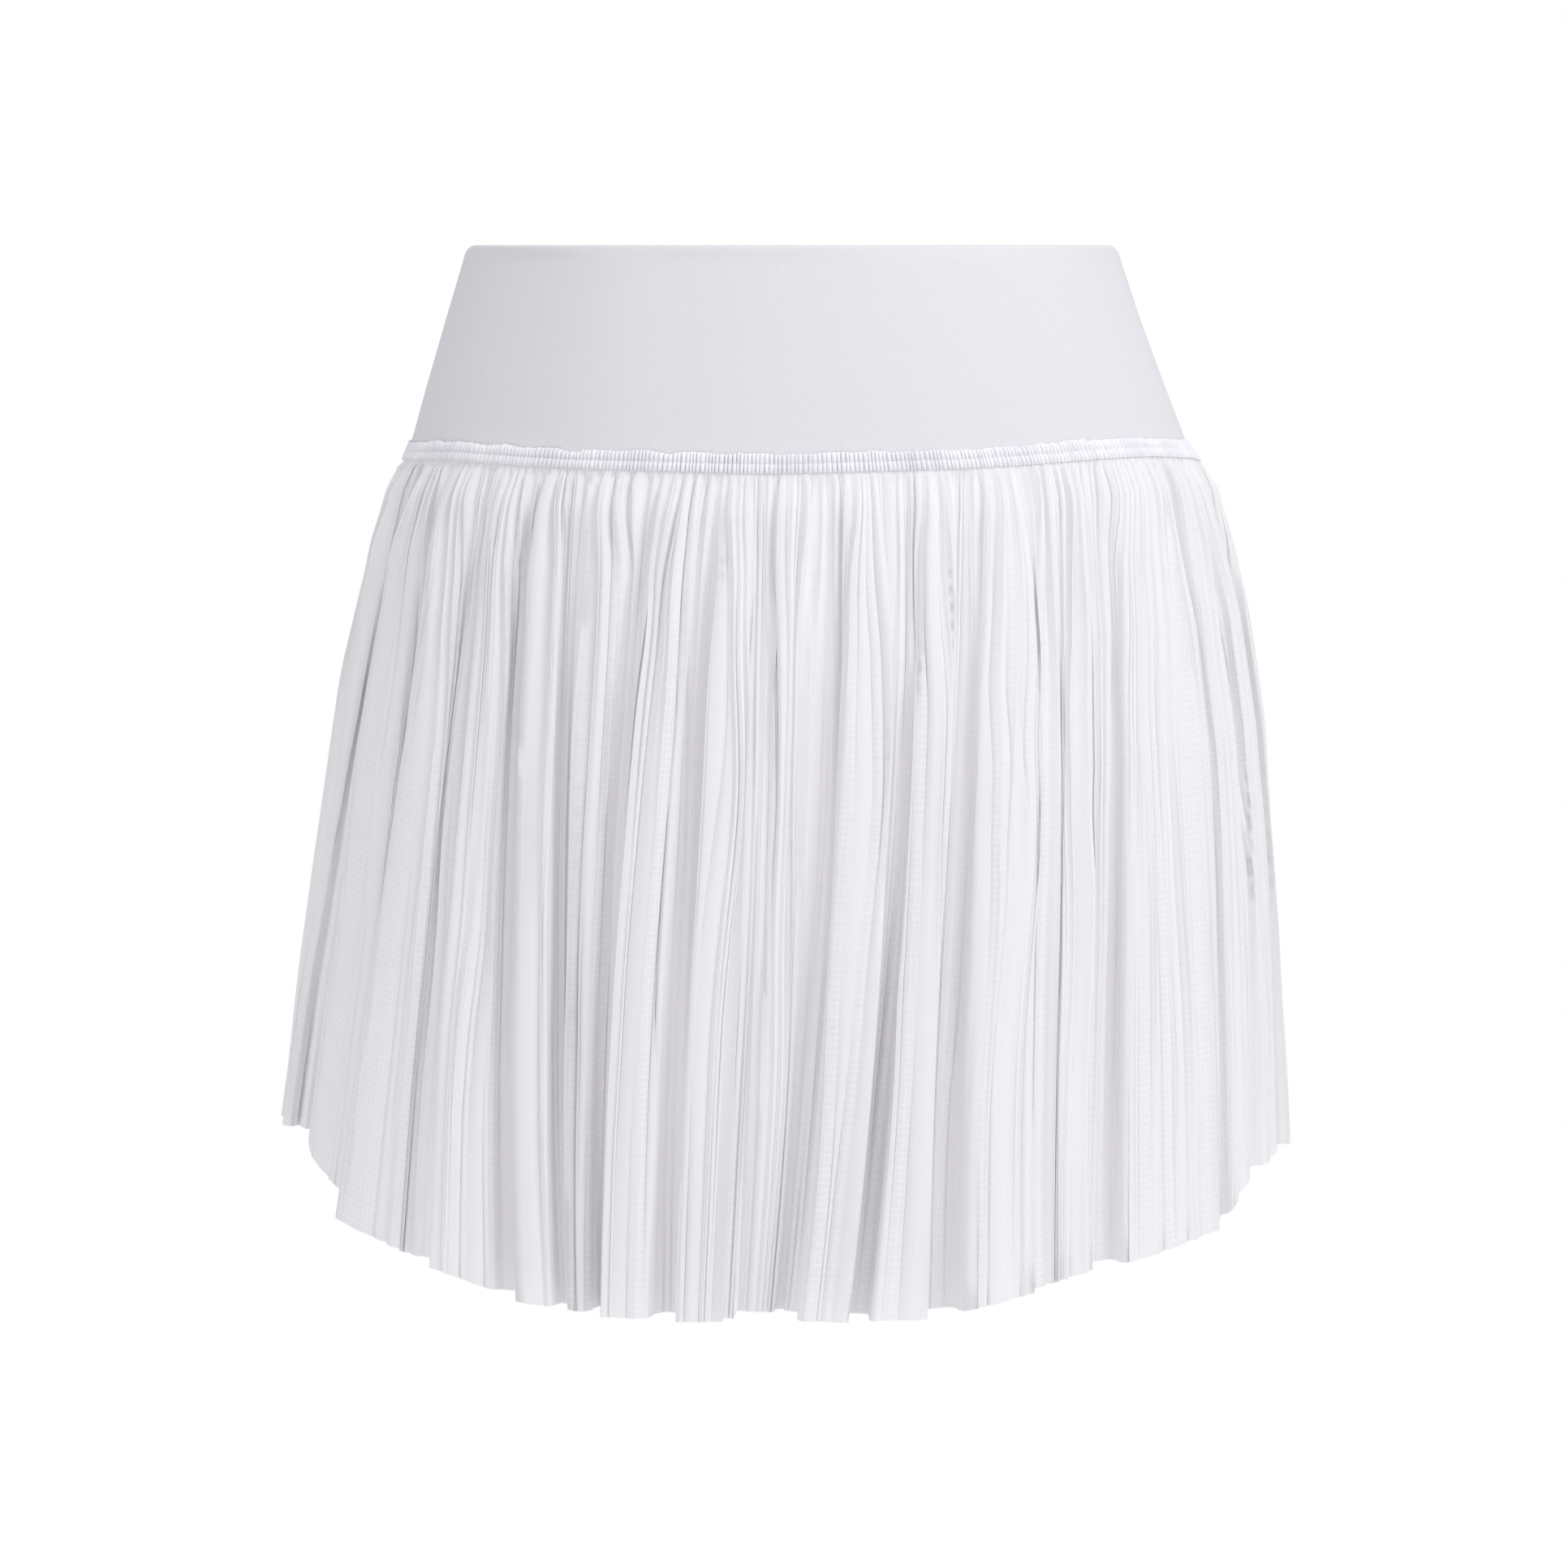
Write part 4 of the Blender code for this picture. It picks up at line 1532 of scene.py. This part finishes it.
    def inner_face(self, angle: np.ndarray, drop: np.ndarray, outer: np.ndarray,
                   outward: np.ndarray) -> np.ndarray:
        """The face on the waistband, which below its edge is a thin flap over the skirt.

        Args:
            angle: Each column's angle.
            drop: Each row's place.
            outer: The ribbed face.
            outward: The level direction out of each of its points.

        Returns:
            Rows of points.
        """
        band = np.minimum(drop, BAND_SECTIONS[-1].place)
        grid = np.broadcast_to(angle, outer.shape[:2])
        under, away = on_outline(sizes_at(BAND_SECTIONS, band)[:, None, :], grid)
        thick = (drop < self.flap_from)[:, None, None]
        inner = np.where(thick, under + away * SEAM_GAP, outer - outward * self.flap)
        inner[..., 2] = outer[..., 2]
        return inner

    def shading(self, angle: np.ndarray, relief: np.ndarray, number: np.ndarray,
                source: np.random.Generator) -> np.ndarray:
        """How far each column goes to the darker colour: painted shade in the troughs, less on
        the right side, which faces the key light, and a darker tone along a few runs of ribs.

        Args:
            angle: Each column's angle.
            relief: How far each column stands out, from 0 to 1.
            number: The number of each column's rib.
            source: Where the random numbers come from.

        Returns:
            A share for each point of the strip.
        """
        tint = source.uniform(0.0, 1.0, int(number.max()) + 1)
        run = np.convolve(tint, np.ones(self.tint_run) / self.tint_run, "same")
        tint = np.clip(run * self.tint_contrast - self.tint_threshold, 0.0, 1.0)
        to_the_right = np.clip(np.sin(angle), 0.0, 1.0)
        # Painted shade in the troughs, weaker on the right side because the key light comes from
        # there.
        painted_trough_shade = np.where(relief == 0.0, self.trough_depth, 0.0)
        painted_trough_shade = painted_trough_shade * (1.0 - self.trough_right * to_the_right)
        shaded = np.maximum(self.tint_depth * tint[number], painted_trough_shade)
        return np.tile(shaded, (self.rows, 1))

    def make(self, side: Side) -> list[bpy.types.Object]:
        """Build one half of the strip and its stitches.

        Args:
            side: Which half.

        Returns:
            The strip and its stitches.
        """
        source = np.random.default_rng(SEED + 3 + len(side.word))
        angle, relief, number = self.rib_columns(side, source)
        drop = between(self.top, self.bottom, np.linspace(0.0, 1.0, self.rows))
        outer, outward = self.outer_face(angle, relief, number, drop, source)
        inner = self.inner_face(angle, drop, outer, outward)
        # The points carry painted shade in the rib troughs and a darker tone along runs of ribs.
        marks = {"shaded": self.shading(angle, relief, number, source)}
        pitch = self.rib_pitch / len(self.rib_outline)
        across = steps_of(np.arange(len(angle)) * pitch, self.rows)
        strip = wall_mesh(f"heading_{side.word}", outer, inner, across, drop,
                          self.sharp_from, marks)
        strip.data.materials.append(self.cloth)
        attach(strip, BODY)
        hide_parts(f"gathered_heading_{side.word}")
        return [strip, self.make_stitches(side, outer, outward)]

    def stitch_tree(self) -> bpy.types.GeometryNodeTree:
        """A tree that lays one slanted stitch on each point along its stored direction.

        Returns:
            The tree, whose inputs are the points, a stitch's sizes, a seed and the thread.
        """
        tree = bpy.data.node_groups.new("gathering_stitches", "GeometryNodeTree")
        inputs = {"Geometry": "Geometry", "Stitch Length": "Float", "Stitch Width": "Float",
                  "Seed": "Int", "Thread": "Material"}
        for title, kind in inputs.items():
            tree.interface.new_socket(title, in_out="INPUT", socket_type=f"NodeSocket{kind}")
        tree.interface.new_socket("Geometry", in_out="OUTPUT", socket_type="NodeSocketGeometry")
        board = NodeBoard(tree)
        given = board.add("NodeGroupInput").outputs
        bead = board.add("GeometryNodeMeshUVSphere", {"Segments": 8, "Rings": 5, "Radius": 0.5})
        size = board.add("ShaderNodeCombineXYZ", {
            "X": given["Stitch Width"], "Y": given["Stitch Width"], "Z": given["Stitch Length"]})
        stretch = board.add("GeometryNodeTransform", {
            "Geometry": bead.outputs["Mesh"], "Scale": size.outputs["Vector"]})
        slant = board.add("GeometryNodeInputNamedAttribute", {"Name": "slant"},
                          data_type="FLOAT_VECTOR")
        turn = board.add("FunctionNodeAlignRotationToVector",
                         {"Vector": slant.outputs["Attribute"]}, axis="Z")
        uneven = board.add("FunctionNodeRandomValue", {2: 0.75, 3: 1.15, "Seed": given["Seed"]},
                           data_type="FLOAT")
        place = board.add("GeometryNodeInstanceOnPoints", {
            "Points": given["Geometry"], "Instance": stretch.outputs["Geometry"],
            "Rotation": turn.outputs["Rotation"], "Scale": uneven.outputs[1]})
        solid = board.add("GeometryNodeRealizeInstances",
                          {"Geometry": place.outputs["Instances"]})
        dress = board.add("GeometryNodeSetMaterial", {
            "Geometry": solid.outputs["Geometry"], "Material": given["Thread"]})
        board.add("NodeGroupOutput", {"Geometry": dress.outputs["Geometry"]})
        return tree

    def stitch_points(self, name: str, outer: np.ndarray,
                      outward: np.ndarray) -> bpy.types.Object:
        """A point for each stitch, on top of a rib, with the stitch's direction.

        Args:
            name: The new object's name.
            outer: The ribbed face.
            outward: The level direction out of each of its points.

        Returns:
            An object of loose points, linked to the scene.
        """
        crests = np.arange(2, outer.shape[1] - 1, len(self.rib_outline))
        sideways, upward = self.stitch_slant
        points = []
        slants = []
        for share in self.stitch_shares:
            row = int(round(share * (self.rows - 1)))
            for column in crests:
                out = outward[row, column]
                along = Vector((-out[1], out[0], 0.0))
                points.append(tuple(outer[row, column] + out * self.stitch_lift))
                slants.append(tuple(along * sideways + Vector((0.0, 0.0, upward))))
        cloud = bpy.data.meshes.new(name)
        cloud.from_pydata(points, [], [])
        slant = cloud.attributes.new("slant", "FLOAT_VECTOR", "POINT")
        slant.data.foreach_set("vector", np.array(slants).ravel())
        maker = bpy.data.objects.new(name, cloud)
        place_piece(maker)
        return maker

    def make_stitches(self, side: Side, outer: np.ndarray,
                      outward: np.ndarray) -> bpy.types.Object:
        """The two rows of stitches, each stitch lying slanted over the top of a rib.

        Args:
            side: Which half.
            outer: The ribbed face that they lie on.
            outward: The level direction out of each of its points.

        Returns:
            The stitches of one half, as one piece.
        """
        name = f"heading_stitches_{side.word}"
        maker = self.stitch_points(f"{name}_points", outer, outward)
        tree = self.stitch_tree()
        values = {"Stitch Length": self.stitch_length, "Stitch Width": self.stitch_width,
                  "Seed": SEED, "Thread": self.thread}
        modifier = maker.modifiers.new("stitches", "NODES")
        modifier.node_group = tree
        for item in tree.interface.items_tree:
            if item.in_out == "INPUT" and item.name in values:
                modifier[item.identifier] = values[item.name]
        graph = bpy.context.evaluated_depsgraph_get()
        graph.update()
        mesh = bpy.data.meshes.new_from_object(maker.evaluated_get(graph))
        bpy.data.objects.remove(maker, do_unlink=True)
        mesh.name = name
        mesh.shade_smooth()
        piece = bpy.data.objects.new(name, mesh)
        place_piece(piece)
        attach(piece, BODY)
        return piece


@dataclass
class Studio:
    """White surroundings, soft lights, a pale floor and the camera."""

    aim: tuple[float, float, float] = (-0.00335, 0.0, -0.2022)
    stand: tuple[float, float, float] = (-0.00335, -2.0, 0.0)
    lit: tuple[float, float, float] = (0.0, 0.0, -0.2)
    lens: float = 122.4
    sensor: float = 36.0
    floor_height: float = -1.0
    floor_size: float = 3.0
    ambient: float = 0.74

    @staticmethod
    def place_facing(thing: bpy.types.Object, place: tuple[float, float, float],
                     aim: tuple[float, float, float]) -> None:
        """Set a camera or light in its place.

        Args:
            thing: The camera or light.
            place: Where it stands.
            aim: The point that it faces.
        """
        thing.location = place
        towards = Vector(aim) - Vector(place)
        thing.rotation_euler = towards.to_track_quat("-Z", "Y").to_euler()
        place_piece(thing)

    def place_camera(self) -> None:
        """Set up the camera in front of the garment, level with its top edge."""
        data = bpy.data.cameras.new("front_camera")
        data.lens = self.lens
        data.sensor_width = self.sensor
        camera = bpy.data.objects.new("front_camera", data)
        self.place_facing(camera, self.stand, self.aim)
        bpy.context.scene.camera = camera

    def place_light(self, name: str, place: tuple[float, float, float], size: float,
                    power: float) -> None:
        """Set up a square soft light that faces the middle of the garment.

        Args:
            name: The light's name.
            place: Where it stands.
            size: The length of its sides in metres.
            power: Its power in watts.
        """
        data = bpy.data.lights.new(name, "AREA")
        data.size = size
        data.energy = power
        self.place_facing(bpy.data.objects.new(name, data), place, self.lit)

    def surround(self) -> None:
        """Show a pure white background, with a dimmer even light from all of it."""
        world = bpy.data.worlds.new("white_room")
        world.use_nodes = True
        bpy.context.scene.world = world
        board = NodeBoard(world.node_tree)
        nodes = world.node_tree.nodes
        board.feed(nodes["Background"].inputs["Color"], (1.0, 1.0, 1.0, 1.0))
        board.feed(nodes["Background"].inputs["Strength"], 1.0)
        lighting = board.add("ShaderNodeBackground", {
            "Color": (0.985, 0.975, 1.0, 1.0), "Strength": self.ambient})
        ray = board.add("ShaderNodeLightPath")
        mix = board.add("ShaderNodeMixShader", {
            "Fac": ray.outputs["Is Camera Ray"], 1: lighting.outputs["Background"],
            2: nodes["Background"].outputs["Background"]})
        board.feed(nodes["World Output"].inputs["Surface"], mix.outputs["Shader"])

    def lay_floor(self) -> None:
        """Lay a plain pale floor well below the garment."""
        half = self.floor_size / 2
        corners = ((-half, -half), (half, -half), (half, half), (-half, half))
        mesh = bpy.data.meshes.new("pale_floor")
        mesh.from_pydata([(x, y, self.floor_height) for x, y in corners], [], [(0, 1, 2, 3)])
        material = bpy.data.materials.new("pale_floor")
        material.use_nodes = True
        shader = material.node_tree.nodes["Principled BSDF"]
        shader.inputs["Base Color"].default_value = (0.80, 0.80, 0.81, 1.0)
        shader.inputs["Roughness"].default_value = 0.9
        mesh.materials.append(material)
        floor = bpy.data.objects.new("pale_floor", mesh)
        place_piece(floor)

    def make(self) -> None:
        """Set everything up round the garment."""
        self.place_camera()
        self.place_light("key_light", (1.2, -1.25, 1.5), 1.0, 20.4)
        self.place_light("fill_light", (-0.3, -2.3, 0.8), 1.8, 3.9)
        self.place_light("low_light", (-1.3, -1.5, -0.7), 1.0, 1.2)
        self.surround()
        self.lay_floor()
        bpy.context.scene.view_settings.view_transform = "Standard"


def main() -> None:
    """Build the garment piece by piece, then the studio round it."""
    logging.basicConfig(level=logging.INFO, format="%(name)s: %(message)s")
    mesh_cloth = MeshFinish(
        "open_mesh", light=(0.955, 0.945, 0.967), dark=(0.85, 0.835, 0.877),
        roughness=0.85, sheen=0.10, relief=0.00006, glow=0.65).make(GridWeave().group())
    knit = KnitFinish(
        "band_knit", light=(0.765, 0.755, 0.783), dark=(0.73, 0.72, 0.755),
        roughness=0.80, sheen=0.12, relief=0.00005).make(CloseKnit().group())
    # The heading's cloth is darkened with painted shade in its rib troughs.
    gathered = ThreadFinish(
        "heading_cloth", light=(0.965, 0.955, 0.98), dark=(0.75, 0.735, 0.80),
        roughness=0.85, sheen=0.10, relief=0.00008, glow=0.15, shaded=0.85).make()
    thread = ThreadFinish(
        "sewing_thread", light=(0.96, 0.95, 0.98), dark=(0.86, 0.85, 0.91),
        roughness=0.70, sheen=0.10, relief=0.00003, glow=0.30).make()
    waistband = Waistband(knit)
    heading = Heading(gathered, thread)
    skirt = Skirt(mesh_cloth)
    for side in Side:
        band = waistband.make(side)
        LOG.info("made %s", band.name)
        strips = heading.make(side)
        panel = skirt.make(side, strips)
        LOG.info("made %s with %s", panel.name, ", ".join(strip.name for strip in strips))
    Studio().make()


if __name__ == "__main__":
    main()
